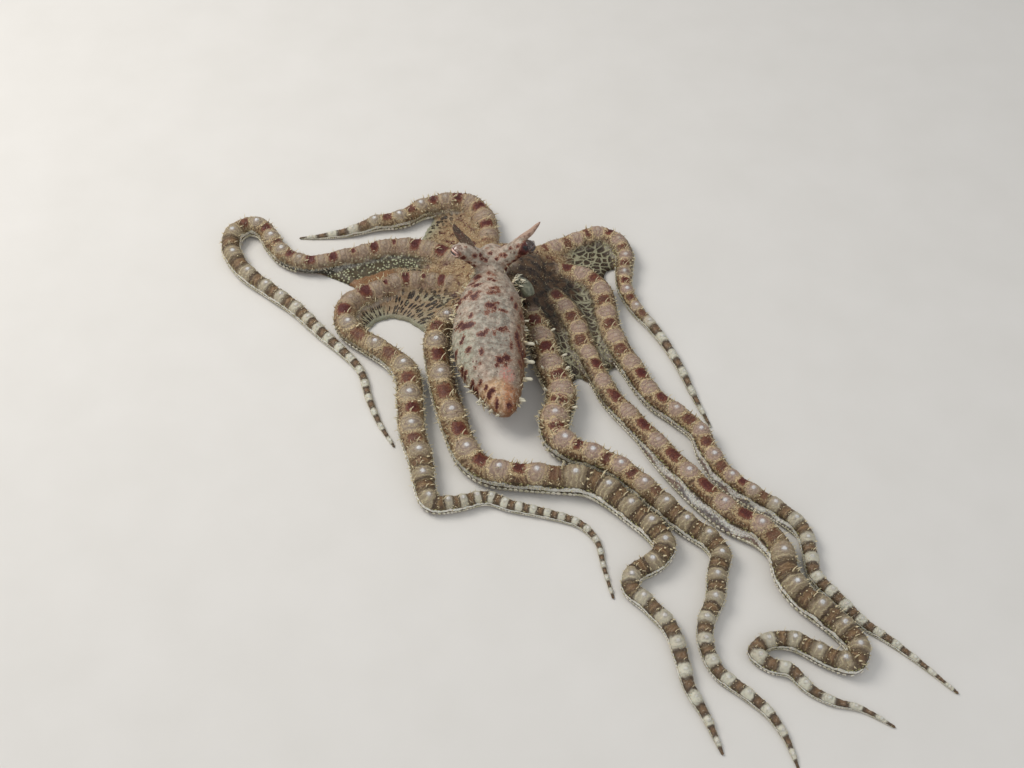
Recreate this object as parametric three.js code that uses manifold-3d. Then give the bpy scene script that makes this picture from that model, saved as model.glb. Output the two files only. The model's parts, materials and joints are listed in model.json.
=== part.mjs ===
// Long-armed octopus lying spread out on a level floor, in the size of life.
// Millimetres, +Z up, the floor is z = 0, and the origin is the middle of the footprint.
// The animal's rear end points to -Y, its left side lies at -X.
import * as THREE from 'three';
import { mergeVertices } from 'three/addons/utils/BufferGeometryUtils.js';
import Module from 'manifold-3d';

const wasm = await Module();
wasm.setup();

// ---- driving sizes -------------------------------------------------------------------
const GAP = 0.3;              // clearance between pieces that touch
const RING_STEP = 3.8;        // distance between the sections of an arm
const CURVE_STEPS = 12;       // samples of an arm's curve between two way points
const ARM_HEIGHT_RATIO = 0.85; // height of an arm's axis over the floor, in arm radii
const FOOT_RATIO = 0.72;      // half width of the flat underneath, in arm radii
const BASE_LIFT = 2.2;        // extra height of the axis where an arm leaves the crown
const BASE_LENGTH = 14;       // length over which that extra height dies away
const MANTLE_LENGTH = 46.5;   // neck to rear end
const MANTLE_RADIUS = 11;     // half the greatest width of the mantle
const CROWN_RADIUS = 12.8;    // disc from which the arms spread
const CROWN_HEIGHT = 12;
const EYE_RADIUS = 2.2;
const STALK_RADIUS = 2.9;
const HORN_LENGTH = 6.5;

const crownCentre = [-11, 59];
const neck = new THREE.Vector3(-15.2, 49.4, 16);
const rearEnd = new THREE.Vector3(-13.7, 49.4 - MANTLE_LENGTH, 7.5);
const headCentre = new THREE.Vector3(-15, 53.5, 17.2);

// ---- arms: way points [x, y, radius] of the axis, from inside the crown to the tip ----
const armRoutes = {
  arm_l1: [[-14.5, 67, 3.3], [-16.5, 73, 3.5], [-16.5, 80, 3.7], [-18.5, 88, 3.8],
    [-23, 93.2, 3.8], [-30, 93.6, 3.8], [-38, 91.5, 3.4], [-44, 87.5, 3], [-52, 86, 2.6],
    [-60, 83, 1.8], [-68, 81.5, 1.1], [-76, 81, 0.5]],
  arm_l2: [[-19, 62.5, 3.3], [-24.5, 66, 3.5], [-31, 70.5, 3.7], [-39, 73, 3.7],
    [-47, 73.5, 3.5], [-59, 70, 3.3], [-70, 67, 3.1], [-78, 69.5, 3.1], [-83, 75, 3.2],
    [-87, 82, 3.2], [-92.5, 84, 3.2], [-96.5, 80, 3.2], [-96.5, 73, 3.1], [-91, 64, 2.8],
    [-82, 56, 2.5], [-73.5, 48.5, 2.3], [-65.5, 39.5, 2], [-58.3, 32, 1.6], [-53, 25, 1.3],
    [-50, 15, 1.15], [-46.5, 6, 0.9], [-42, -2, 0.5]],
  arm_l3: [[-19.5, 57.5, 3.3], [-25, 56.8, 3.5], [-32, 58, 3.6], [-41, 58.5, 3.7],
    [-49, 55, 3.8], [-57, 50, 3.8], [-59, 44.5, 3.7], [-56.5, 38.8, 3.6], [-50, 33.3, 3.4],
    [-43.5, 28, 3.6], [-39, 21, 4], [-37.8, 11, 4.1], [-36.8, 1, 4], [-34, -9, 3.7],
    [-32.7, -17, 3.3], [-30.5, -22.5, 2.8], [-24, -22.5, 2.4], [-16, -20.5, 2.1],
    [-9, -23, 1.8], [1, -25.5, 1.5], [9, -28.5, 1.3], [13.5, -34, 1], [15, -42, 0.75],
    [17, -51, 0.5]],
  arm_l4: [[-17, 53, 3.3], [-21, 49, 3.5], [-26.5, 44.5, 3.8], [-30.5, 38.5, 4.1],
    [-31, 31, 4.1], [-29.5, 21, 4.1], [-27.3, 11, 4.2], [-24, 0, 4.2],
    [-20.8, -8, 4.1], [-15, -13, 4], [-7, -14.5, 4], [4, -15.5, 4.1], [12, -16.5, 4.1], [18, -20.5, 3.9],
    [23.5, -26, 3.6], [29, -32, 3.4], [31, -37, 3.2], [28, -41.5, 3], [23, -44.5, 2.8],
    [21.5, -49, 2.5], [26, -54, 2.4], [31, -61, 2.3], [33, -69, 2], [34.5, -77, 1.7],
    [38, -85, 1.3], [41, -94, 0.5]],
  arm_r1: [[-5.5, 65.5, 3.3], [-1.5, 69.5, 3.4], [5, 73, 3.5], [11.5, 76.5, 3.5],
    [18, 79, 3.5], [23.5, 76.5, 3.3], [26, 71, 3.1], [25.5, 64.5, 2.9], [25.5, 57, 2.5],
    [28.5, 49, 2.1], [33, 42, 1.8], [37, 34, 1.5], [40.5, 25, 1.3], [43.5, 15, 0.95],
    [47, 5, 0.5]],
  arm_r2: [[-2.5, 60.5, 3.3], [2.5, 62, 3.5], [9, 62, 3.6], [15.5, 58.5, 3.7],
    [18.5, 52, 3.7], [19.5, 43, 3.6], [21.5, 34, 3.6], [26, 24, 3.5], [31, 14, 3.3],
    [37, 8, 3.2], [43, 1.5, 3.1], [46, -7, 3], [50, -14, 2.8], [56, -19.5, 2.7],
    [63, -25, 2.5], [68, -31, 2.4], [69, -38, 2.2], [69.5, -45, 2], [74, -51.5, 1.9],
    [79.5, -58.5, 1.6], [85.5, -63.5, 1.25], [92, -69.5, 0.9], [100, -78, 0.5]],
  arm_r3: [[-3, 56, 3.3], [1.5, 53.5, 3.4], [5.8, 49, 3.4], [9.5, 42, 3.4], [12, 33, 3.3],
    [15, 24, 3.3], [19, 14, 3.3], [25, 5, 3.3], [31.3, -3.8, 3.4], [37.8, -12.5, 3.4],
    [44.2, -20.6, 3.4], [50.4, -27.2, 3.5], [57.3, -32, 3.6], [61, -38, 3.6], [62, -46, 3.7],
    [65, -52, 3.6], [70, -57, 3.6], [74.5, -62, 3.4], [77, -66.5, 3.2], [75, -71, 3],
    [69, -69, 2.8], [62, -64.8, 2.6], [56, -64.3, 2.4], [51.5, -67.3, 2.2], [55, -71, 2.1],
    [60, -72.6, 1.9], [63.5, -77, 1.6], [69, -80.5, 1.3], [76, -82.5, 0.9],
    [83, -87, 0.5]],
  arm_r4: [[-6, 51.5, 3.3], [-4, 47.5, 3.5], [-2, 40, 3.9], [0, 32, 4.2], [2, 24, 4.4],
    [4.5, 17, 4.5], [4.8, 11, 4.6], [3, 4.5, 4.6], [3.5, -1.5, 4.4], [8, -5.8, 4],
    [14, -8.2, 3.8], [20.5, -12, 3.6], [26.3, -17.8, 3.6], [31.5, -23.5, 3.4],
    [37.3, -29.8, 3.2], [43, -34.5, 3.1], [45.5, -39.5, 3], [44, -45, 2.9], [43, -52, 2.7],
    [40, -59, 2.4], [39.5, -66, 2.2], [42, -73, 2], [47.5, -78, 1.8], [53, -83.5, 1.5],
    [56.5, -90, 1], [58.5, -97.5, 0.5]],
};

// Number of lengths that each arm is divided into
const armLengths = {
  arm_l1: 3, arm_l2: 5, arm_l3: 5, arm_l4: 5, arm_r1: 3, arm_r2: 5, arm_r3: 6, arm_r4: 4,
};

// Smooth side skirts that lie on the floor to the right of two arms: [from, to, width]
const skirts = { arm_r2: [86, 128, 2.6], arm_r3: [66, 118, 4] };

// ---- small helpers -------------------------------------------------------------------
const lerp = THREE.MathUtils.lerp;
const skin = (colour) => new THREE.MeshStandardMaterial({
  color: colour, roughness: 0.6, metalness: 0,
});

function spline(a, b, c, d, u) {
  return 0.5 * (2 * b + (c - a) * u + (2 * a - 5 * b + 4 * c - d) * u * u
    + (3 * b - a - 3 * c + d) * u * u * u);
}

// A route is the list of points along an arm's curve with the distance travelled so far.
function makeRoute(points) {
  const last = points.length - 1;
  const track = [];
  for (let i = 0; i < last; i += 1) {
    const before = points[Math.max(i - 1, 0)];
    const after = points[Math.min(i + 2, last)];
    const steps = i === last - 1 ? CURVE_STEPS + 1 : CURVE_STEPS;
    for (let k = 0; k < steps; k += 1) {
      const u = k / CURVE_STEPS;
      const [x, y, r] = [0, 1, 2].map(
        (c) => spline(before[c], points[i][c], points[i + 1][c], after[c], u));
      const end = track[track.length - 1];
      const s = end ? end.s + Math.hypot(x - end.x, y - end.y) : 0;
      track.push({ x, y, r, s });
    }
  }
  return track;
}

function pointAt(track, s) {
  let i = 1;
  while (i < track.length - 1 && track[i].s < s) i += 1;
  const a = track[i - 1];
  const b = track[i];
  const u = THREE.MathUtils.clamp((s - a.s) / (b.s - a.s), 0, 1);
  return { x: lerp(a.x, b.x, u), y: lerp(a.y, b.y, u), r: lerp(a.r, b.r, u) };
}

// Sideways direction of a route, to the left of its travel
function sideAt(track, s) {
  const total = track[track.length - 1].s;
  const a = pointAt(track, Math.max(s - 0.8, 0));
  const b = pointAt(track, Math.min(s + 0.8, total));
  const length = Math.hypot(b.x - a.x, b.y - a.y);
  return [-(b.y - a.y) / length, (b.x - a.x) / length];
}

function skirtWidth(name, s) {
  const skirt = skirts[name];
  if (!skirt || s < skirt[0] || s > skirt[1]) return 0;
  return skirt[2] * Math.sin(Math.PI * (s - skirt[0]) / (skirt[1] - skirt[0])) ** 0.7;
}

// Cross-section of an arm: a half round on straight sides that end in a flat on the floor
function armSection(name, s, grow) {
  const track = routes[name];
  const { x, y, r } = pointAt(track, s);
  const [sx, sy] = sideAt(track, s);
  const lift = BASE_LIFT * Math.max(0, 1 - s / BASE_LENGTH) ** 2;
  const axis = ARM_HEIGHT_RATIO * r + lift;
  const skirt = skirtWidth(name, s);
  const profile = [0, 45, 90, 135, 180].map((angle) => {
    const a = THREE.MathUtils.degToRad(angle);
    return [(r + grow) * Math.cos(a), axis + (r + grow) * Math.sin(a)];
  });
  const foot = FOOT_RATIO * r + grow;
  profile.push([-foot, 0], [foot + skirt, 0]);
  return profile.map(([across, up]) => new THREE.Vector3(
    x - sx * across, y - sy * across, up));
}

// Closed skin over a list of rings, each ring going round the same way
function loft(rings) {
  const count = rings[0].length;
  const positions = [];
  const index = [];
  rings.flat().forEach((p) => positions.push(p.x, p.y, p.z));
  for (let i = 0; i < rings.length - 1; i += 1) {
    for (let j = 0; j < count; j += 1) {
      const k = (j + 1) % count;
      const a = i * count + j;
      const b = i * count + k;
      index.push(a, b, b + count, a, b + count, a + count);
    }
  }
  [0, rings.length - 1].forEach((i) => {
    const middle = new THREE.Vector3();
    rings[i].forEach((p) => middle.addScaledVector(p, 1 / count));
    const centre = positions.length / 3;
    positions.push(middle.x, middle.y, middle.z);
    for (let j = 0; j < count; j += 1) {
      const a = i * count + j;
      const b = i * count + (j + 1) % count;
      if (i === 0) index.push(centre, b, a);
      else index.push(centre, a, b);
    }
  });
  return facingOut(positions, index);
}

function facingOut(positions, index) {
  let volume = 0;
  const at = (i) => new THREE.Vector3(
    positions[3 * i], positions[3 * i + 1], positions[3 * i + 2]);
  for (let i = 0; i < index.length; i += 3) {
    volume += at(index[i]).dot(at(index[i + 1]).cross(at(index[i + 2])));
  }
  const order = volume < 0 ? index.slice().reverse() : index;
  const geometry = new THREE.BufferGeometry();
  geometry.setAttribute('position', new THREE.Float32BufferAttribute(positions, 3));
  geometry.setIndex(order);
  return geometry;
}

function ellipsoid(centre, radii, across, down) {
  const sphere = new THREE.SphereGeometry(1, across, down);
  sphere.deleteAttribute('uv');
  sphere.deleteAttribute('normal');
  sphere.rotateX(Math.PI / 2);
  sphere.scale(radii[0], radii[1], radii[2]);
  sphere.translate(centre.x, centre.y, centre.z);
  return mergeVertices(sphere, 1e-4);
}

// Round tube along a list of stations [point, radius], with rings square to its axis
function taperedTube(stations, sides) {
  const rings = stations.map(([centre, radius], i) => {
    const a = stations[Math.max(i - 1, 0)][0];
    const b = stations[Math.min(i + 1, stations.length - 1)][0];
    const along = b.clone().sub(a).normalize();
    const right = new THREE.Vector3(-along.y, along.x, 0.001).cross(along).normalize();
    const up = along.clone().cross(right).normalize();
    return Array.from({ length: sides }, (unused, k) => {
      const t = (2 * Math.PI * k) / sides;
      return centre.clone()
        .addScaledVector(right, radius * Math.cos(t))
        .addScaledVector(up, radius * Math.sin(t));
    });
  });
  return loft(rings);
}

function toManifold(geometry) {
  return new wasm.Manifold(new wasm.Mesh({
    numProp: 3,
    vertProperties: new Float32Array(geometry.attributes.position.array),
    triVerts: new Uint32Array(geometry.index.array),
  }));
}

function toGeometry(manifold) {
  const mesh = manifold.getMesh();
  const geometry = new THREE.BufferGeometry();
  geometry.setAttribute('position', new THREE.Float32BufferAttribute(mesh.vertProperties, 3));
  geometry.setIndex(Array.from(mesh.triVerts));
  return geometry;
}

function cut(geometry, ...tools) {
  let body = toManifold(geometry);
  tools.forEach((tool) => {
    body = body.subtract(toManifold(tool));
  });
  return toGeometry(body);
}

const routes = Object.fromEntries(
  Object.entries(armRoutes).map(([name, points]) => [name, makeRoute(points)]));

// ---- the pieces ----------------------------------------------------------------------
// Crown: a low round cushion with steep sides, whose flat underside rests on the floor
function crown(grow) {
  const profile = [[0.8, 0], [0.97, 0.12], [1, 0.35], [0.97, 0.55], [0.86, 0.76],
    [0.62, 0.92], [0.32, 0.985], [0.08, 1]];
  const points = profile.map(([radius, height]) => new THREE.Vector2(
    radius * CROWN_RADIUS + grow,
    height * CROWN_HEIGHT + (height > 0.5 ? grow : 0) - (height === 0 ? grow : 0)));
  const rings = points.map((p) => Array.from({ length: 18 }, (unused, k) => {
    const t = (2 * Math.PI * k) / 18;
    return new THREE.Vector3(
      crownCentre[0] + p.x * Math.cos(t), crownCentre[1] + p.x * Math.sin(t), p.y);
  }));
  return loft(rings);
}

// Mantle: a pear that is widest behind its middle, ends in a blunt point and bends a
// little to the right: place along it, width, shift to the right
const mantleProfile = [[0, 0.5, 0], [0.1, 0.66, -0.2], [0.2, 0.83, -0.5], [0.32, 0.95, -0.8],
  [0.46, 1, -1.1], [0.6, 0.97, -0.9], [0.72, 0.85, -0.2], [0.82, 0.69, 0.9],
  [0.9, 0.53, 1.8], [0.96, 0.39, 2.4], [1, 0.16, 2.7]];
const MANTLE_FLATNESS = 0.86;

function mantle(grow) {
  const rings = mantleProfile.map(([t, width, shift]) => {
    const centre = neck.clone().lerp(rearEnd, t);
    centre.x += shift;
    centre.z -= 0.6 * Math.sin(Math.PI * t);
    if (t === 0) centre.y += grow;
    const half = width * MANTLE_RADIUS + grow;
    return Array.from({ length: 14 }, (unused, k) => {
      const a = (2 * Math.PI * k) / 14;
      return new THREE.Vector3(
        centre.x + half * Math.cos(a), centre.y, centre.z + MANTLE_FLATNESS * half * Math.sin(a));
    });
  });
  return loft(rings);
}

const head = (grow) => ellipsoid(headCentre, [6.6 + grow, 7.6 + grow, 6.8 + grow], 14, 10);

// Eye stalks lean out to either side and carry the eyes and a tapering horn each
const stalkSides = {
  left: { foot: [-17, 51.5, 19], tip: [-23.4, 50.6, 25.4], eye: [-24.6, 49.6, 25.6],
    horn: [-25.4, 53.4, 32] },
  right: { foot: [-13, 52.5, 19], tip: [-5.6, 52.4, 25.4], eye: [-4.2, 51.6, 25.4],
    horn: [-2.2, 54.4, 32] },
};
const vector = (list) => new THREE.Vector3(...list);

function stalk(side, grow) {
  const { foot, tip } = stalkSides[side];
  const top = vector(tip);
  const end = top.clone().add(top.clone().sub(vector(foot)).setLength(1.6 + grow));
  return taperedTube([[vector(foot), 3.4 + grow],
    [vector(foot).lerp(top, 0.5), STALK_RADIUS - 0.1 + grow], [top, STALK_RADIUS + grow],
    [end, 1.8 + grow]], 10);
}

const eye = (side, grow) => {
  const size = EYE_RADIUS + grow;
  return ellipsoid(vector(stalkSides[side].eye), [size, size, size], 10, 6);
};

function horn(side) {
  const top = vector(stalkSides[side].horn);
  const foot = vector(stalkSides[side].tip);
  const root = top.clone().add(foot.sub(top).setLength(HORN_LENGTH));
  return taperedTube([[root, 1.6], [root.clone().lerp(top, 0.45), 1.1],
    [root.clone().lerp(top, 0.8), 0.7], [top, 0.35]], 8);
}

function siphon() {
  return taperedTube([[new THREE.Vector3(-10, 50.5, 15), 2.6],
    [new THREE.Vector3(-5.6, 48.4, 14), 2.2], [new THREE.Vector3(-2.6, 45.4, 13), 1.7]], 10);
}

// One length of an arm, between two distances along its route
function armPiece(name, from, to, grow) {
  const count = Math.max(2, Math.ceil((to - from) / RING_STEP));
  const rings = Array.from({ length: count + 1 }, (unused, i) => armSection(
    name, lerp(from, to, i / count), grow));
  return loft(rings);
}

// Web: a thin skin that slopes down from the crown between two arms, as far as its rim
const webs = {
  web_l1_r1: { arms: ['arm_l1', 'arm_r1'], reach: [14, 12], rim: [[-10, 76]] },
  web_l1_l2: { arms: ['arm_l1', 'arm_l2'], reach: [38, 24], rim: [[-37, 82]] },
  web_l2_l3: { arms: ['arm_l2', 'arm_l3'], reach: [62, 42], rim: [[-64, 63], [-57, 59]] },
  web_l3_l4: { arms: ['arm_l3', 'arm_l4'], reach: [58, 22],
    rim: [[-53, 40], [-49.5, 45], [-45, 46.5], [-40, 45]] },
  web_l4_r4: { arms: ['arm_l4', 'arm_r4'], reach: [16, 16], rim: [[-13, 41]] },
  web_r3_r4: { arms: ['arm_r4', 'arm_r3'], reach: [38, 44], rim: [[10, 23]] },
  web_r2_r3: { arms: ['arm_r3', 'arm_r2'], reach: [46, 50], rim: [[19, 25]] },
  web_r1_r2: { arms: ['arm_r2', 'arm_r1'], reach: [26, 42], rim: [[20, 66]] },
};
const WEB_TENT = [[0.001, 8], [12, 7.4], [16, 5], [24, 3], [36, 2.2], [60, 1.5], [61, 0],
  [0.001, 0]];

function webTent() {
  const rings = WEB_TENT.map(([radius, height]) => Array.from({ length: 20 }, (unused, k) => {
    const t = (2 * Math.PI * k) / 20;
    return new THREE.Vector3(crownCentre[0] + radius * Math.cos(t),
      crownCentre[1] + radius * Math.sin(t), height);
  }));
  return loft(rings);
}

function webOutline({ arms, reach, rim }) {
  const edge = (name, end) => Array.from({ length: Math.ceil(end / 5) + 1 }, (unused, i) => {
    const { x, y } = pointAt(routes[name], (end * i) / Math.ceil(end / 5));
    return [x, y];
  });
  const outward = edge(arms[0], reach[0]);
  const back = edge(arms[1], reach[1]).reverse();
  const outline = [crownCentre, ...outward, ...rim, ...back];
  return new THREE.Shape(outline.map(([x, y]) => new THREE.Vector2(x, y)));
}

function web(spec) {
  const slab = new THREE.ExtrudeGeometry(webOutline(spec), { depth: 10, bevelEnabled: false });
  slab.deleteAttribute('uv');
  slab.deleteAttribute('normal');
  let body = toManifold(mergeVertices(slab, 1e-4)).intersect(toManifold(webTent()));
  [crown(GAP), ...spec.arms.map((name, i) => armPiece(name, 0, spec.reach[i] + 12, GAP))]
    .forEach((tool) => {
      tool.translate(0, 0, -0.05);
      body = body.subtract(toManifold(tool));
    });
  const largest = body.decompose().sort((a, b) => b.volume() - a.volume())[0];
  return toGeometry(largest);
}

// ---- assembly ------------------------------------------------------------------------
const group = new THREE.Group();
group.name = 'octopus';

function add(name, geometry, colour) {
  const flat = geometry.index ? geometry.toNonIndexed() : geometry;
  flat.computeVertexNormals();
  const mesh = new THREE.Mesh(flat, skin(colour));
  mesh.name = name;
  group.add(mesh);
}

add('crown', crown(0), '#8f7358');
add('mantle', mantle(0), '#bfa38e');
add('head', cut(head(0), crown(GAP), mantle(GAP)), '#b39680');
Object.keys(stalkSides).forEach((side) => {
  add(`eye_stalk_${side}`, cut(stalk(side, 0), head(GAP), eye(side, GAP)), '#a98a72');
  add(`eye_${side}`, eye(side, 0), '#d8c3b0');
  add(`horn_${side}`, cut(horn(side), stalk(side, GAP), eye(side, GAP)), '#6b4a35');
});
add('siphon', cut(siphon(), head(GAP), mantle(GAP), crown(GAP)), '#b7aca0');

Object.entries(armLengths).forEach(([name, count]) => {
  const total = routes[name][routes[name].length - 1].s;
  for (let i = 0; i < count; i += 1) {
    const from = (total * i) / count + (i > 0 ? GAP / 2 : 0);
    const to = (total * (i + 1)) / count - (i < count - 1 ? GAP / 2 : 0);
    const piece = armPiece(name, from, to, 0);
    add(`${name}_${'abcdef'[i]}`, i === 0 ? cut(piece, crown(GAP)) : piece, '#a88c70');
  }
});
Object.entries(webs).forEach(([name, spec]) => add(name, web(spec), '#7d7458'));

export default group;
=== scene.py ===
# %% [markdown]
# # A long-armed octopus at rest
# The animal lies spread on a level floor: a pear-shaped mantle, a head with two stalked eyes,
# and eight banded arms. The flesh is one continuous skin. Suckers, filaments and eyes are
# separate pieces, because on the animal they have their own form and finish.

# %% Load the frame
import bpy
import bmesh
import json
import math
from types import SimpleNamespace
import numpy as np
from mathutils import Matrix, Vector, geometry, noise

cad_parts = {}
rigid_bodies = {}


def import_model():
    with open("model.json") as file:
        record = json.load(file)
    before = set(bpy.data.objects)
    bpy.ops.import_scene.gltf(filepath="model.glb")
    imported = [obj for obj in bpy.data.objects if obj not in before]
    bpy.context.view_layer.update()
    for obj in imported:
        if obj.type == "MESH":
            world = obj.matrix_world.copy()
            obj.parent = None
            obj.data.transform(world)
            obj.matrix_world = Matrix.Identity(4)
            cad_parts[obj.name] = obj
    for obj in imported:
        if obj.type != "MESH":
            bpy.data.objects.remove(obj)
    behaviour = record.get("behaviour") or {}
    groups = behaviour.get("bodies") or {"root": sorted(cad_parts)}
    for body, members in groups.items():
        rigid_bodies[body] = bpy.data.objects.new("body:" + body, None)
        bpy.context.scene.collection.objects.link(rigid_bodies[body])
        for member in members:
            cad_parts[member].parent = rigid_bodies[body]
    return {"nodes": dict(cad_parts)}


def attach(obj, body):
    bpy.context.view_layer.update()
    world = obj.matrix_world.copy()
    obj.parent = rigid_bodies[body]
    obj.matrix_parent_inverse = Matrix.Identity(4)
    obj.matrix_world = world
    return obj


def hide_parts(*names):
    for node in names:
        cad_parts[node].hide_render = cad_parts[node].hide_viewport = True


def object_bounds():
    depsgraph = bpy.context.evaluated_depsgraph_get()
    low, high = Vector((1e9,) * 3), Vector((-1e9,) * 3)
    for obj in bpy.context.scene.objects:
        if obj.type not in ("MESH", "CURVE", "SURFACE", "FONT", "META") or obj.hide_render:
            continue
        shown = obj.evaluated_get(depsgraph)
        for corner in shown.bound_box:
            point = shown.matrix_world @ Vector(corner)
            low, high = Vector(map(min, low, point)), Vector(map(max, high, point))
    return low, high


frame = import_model()
bpy.context.view_layer.update()
cad_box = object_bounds()
print("frame nodes:", len(frame["nodes"]), "box:", cad_box)

# %% [markdown]
# ## Camera, floor and light
# The camera looks down at fifty degrees from behind the animal. A pale floor and three broad
# lamps give soft shadows, which let the relief of the skin show without hard edges.

# %% Camera and lamps
MM = 0.001
CAMERA_PLACE = (-9, -243.8, 315.6)     # in millimetres
CAMERA_TURN = (40, 0, 0)               # in degrees
LAMPS = {
    # name: place in metres, side in metres, power in watts, colour; all point at the middle
    "key": ((-0.35, 0.18, 0.45), 0.28, 2.3, (1.0, 0.97, 0.93)),
    "fill": ((0.5, -0.3, 0.4), 0.5, 0.7, (0.93, 0.96, 1.0)),
    "front": ((-0.1, -0.6, 0.35), 0.5, 0.5, (1.0, 1.0, 1.0)),
}
scene = bpy.context.scene
lens = bpy.data.cameras.new("camera")
lens.lens, lens.sensor_width, lens.clip_start = 50, 36, 0.01
scene.camera = bpy.data.objects.new("camera", lens)
scene.camera.location = [value * MM for value in CAMERA_PLACE]
scene.camera.rotation_euler = [math.radians(angle) for angle in CAMERA_TURN]
scene.collection.objects.link(scene.camera)
for name, (place, side, power, colour) in LAMPS.items():
    data = bpy.data.lights.new(name, "AREA")
    data.size, data.energy, data.color = side, power, colour
    light = bpy.data.objects.new(name, data)
    light.location = place
    light.rotation_euler = (-Vector(place)).to_track_quat("-Z", "Y").to_euler()
    scene.collection.objects.link(light)
world = bpy.data.worlds.new("studio")
scene.world = world
world.use_nodes = True
sky = world.node_tree.nodes["Background"].inputs
sky["Color"].default_value, sky["Strength"].default_value = (0.9, 0.92, 0.95, 1), 0.55
scene.view_settings.view_transform = "Standard"
print("camera at", tuple(scene.camera.location))

# %% [markdown]
# ## Values of a shader, as expressions
# A pattern is a sum, a product or a threshold of simple values. `Val` wraps one output of a
# shader tree, so that arithmetic in Python adds the Math nodes. Colours are written as
# screen values from 0 to 255, and `tone` turns them into the shader's own numbers.

# %% One value and one colour
class Val:
    """One value in a shader tree."""

    def __init__(self, paint, socket):
        self.paint, self.socket = paint, socket

    def math(self, operation, *others):
        return self.paint.calculate(operation, self, *others)

    def __add__(self, other):
        return self.math("ADD", other)

    def __sub__(self, other):
        return self.math("SUBTRACT", other)

    def __rsub__(self, other):
        return self.paint.calculate("SUBTRACT", other, self)

    def __mul__(self, other):
        return self.math("MULTIPLY", other)

    def __truediv__(self, other):
        return self.math("DIVIDE", other)

    def __pow__(self, other):
        return self.math("POWER", other)

    def __abs__(self):
        return self.math("ABSOLUTE")

    __radd__ = __add__
    __rmul__ = __mul__

    def rise(self, low, high):
        """A smooth step from 0 at low to 1 at high, or down if low is the greater."""
        return self.paint.node("ShaderNodeMapRange", {"interpolation_type": "SMOOTHSTEP"},
                               {"Value": self, "From Min": low, "From Max": high})

    def stray(self, noise_value, amount):
        """The value, moved up and down by a noise, so that an edge made from it wanders."""
        return self + (noise_value - 0.5) * amount


def tone(red, green, blue):
    """A colour from its screen values, 0 to 255."""
    parts = [value / 255 for value in (red, green, blue)]
    line = [p / 12.92 if p < 0.04045 else ((p + 0.055) / 1.055) ** 2.4 for p in parts]
    return (*line, 1)


print("middle grey in the shader:", [round(part, 3) for part in tone(128, 128, 128)])

# %% [markdown]
# ## Paint
# `Paint` holds the tree of one material. It lays colours over each other as coats of paint,
# each with a value that says where it covers. `finish` connects the last coat, the roughness
# and the relief to the surface.

# %% Paint
def add_node(tree, kind, settings, inputs):
    """A new node with its options set, and each input either linked or given a value."""
    made = tree.nodes.new(kind)
    for key, value in settings.items():
        setattr(made, key, value)
    for key, value in inputs.items():
        if isinstance(value, bpy.types.NodeSocket):
            tree.links.new(value, made.inputs[key])
        else:
            made.inputs[key].default_value = value
    return made


class Paint:
    """A material whose nodes are added by method calls."""

    def __init__(self, name):
        self.material = bpy.data.materials.new(name)
        self.material.use_nodes = True
        self.tree = self.material.node_tree
        self.tree.nodes.clear()

    def node(self, kind, settings, inputs, output=0):
        plain = {key: value.socket if isinstance(value, Val) else value
                 for key, value in inputs.items()}
        return Val(self, add_node(self.tree, kind, settings, plain).outputs[output])

    def calculate(self, operation, *values):
        return self.node("ShaderNodeMath", {"operation": operation}, dict(enumerate(values)))

    def mix(self, factor, first, second):
        """A colour between two colours, each a value or plain red, green and blue."""
        first, second = (c if isinstance(c, Val) else tone(*c) for c in (first, second))
        return self.node("ShaderNodeMix", {"data_type": "RGBA"},
                         {0: factor, 6: first, 7: second}, 2)

    def coats(self, colour, *layers):
        """Coats of paint over a colour: each is how much it covers, and its own colour."""
        for cover, layer in layers:
            colour = self.mix(cover, colour, layer)
        return colour

    def __getitem__(self, name):
        """A number that the mesh stores for each point."""
        return self.node("ShaderNodeAttribute", {"attribute_name": name}, {}, "Fac")

    def vector(self, name):
        return self.node("ShaderNodeAttribute", {"attribute_name": name}, {}, "Vector")

    def place(self):
        """The point on the surface, in millimetres."""
        here = self.node("ShaderNodeTexCoord", {}, {}, "Object")
        return self.node("ShaderNodeVectorMath", {"operation": "SCALE"}, {0: here, 3: 1000})

    def axes(self, where):
        return [self.node("ShaderNodeSeparateXYZ", {}, {0: where}, axis) for axis in "XYZ"]

    def noise(self, where, scale, detail=2):
        return self.node("ShaderNodeTexNoise", {},
                         {"Vector": where, "Scale": scale, "Detail": detail}, "Fac")

    def cells(self, where, scale=1.0, settings=None, **inputs):
        """Distance to the nearest of many scattered points."""
        return self.node("ShaderNodeTexVoronoi", settings or {},
                         {"Vector": where, "Scale": scale, **inputs}, "Distance")

    def finish(self, colour, roughness, height=None, bump=0.2, **fixed):
        """Connects colour, roughness and relief (in millimetres) to the surface."""
        sockets = {"Base Color": colour, "Roughness": roughness}
        sockets.update({key.replace("_", " "): value for key, value in fixed.items()})
        if height is not None:
            sockets["Normal"] = self.node(
                "ShaderNodeBump", {},
                {"Height": height, "Distance": bump * MM, "Strength": 1.0}, "Normal")
        shader = self.node("ShaderNodeBsdfPrincipled", {}, sockets)
        add_node(self.tree, "ShaderNodeOutputMaterial", {}, {"Surface": shader.socket})
        print("paint", self.material.name, "has", len(self.tree.nodes), "nodes")
        return self.material


# %% [markdown]
# ## The floor
# It is plain and pale, so that the animal's own colours stand out.

# %% Floor
def mesh_object(name, points_mm, faces):
    """A smooth mesh object from points in millimetres."""
    mesh = bpy.data.meshes.new(name)
    mesh.from_pydata((np.asarray(points_mm, float) * MM).tolist(), [], faces)
    mesh.update()
    mesh.shade_smooth()
    made = bpy.data.objects.new(name, mesh)
    scene.collection.objects.link(made)
    return made


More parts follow.
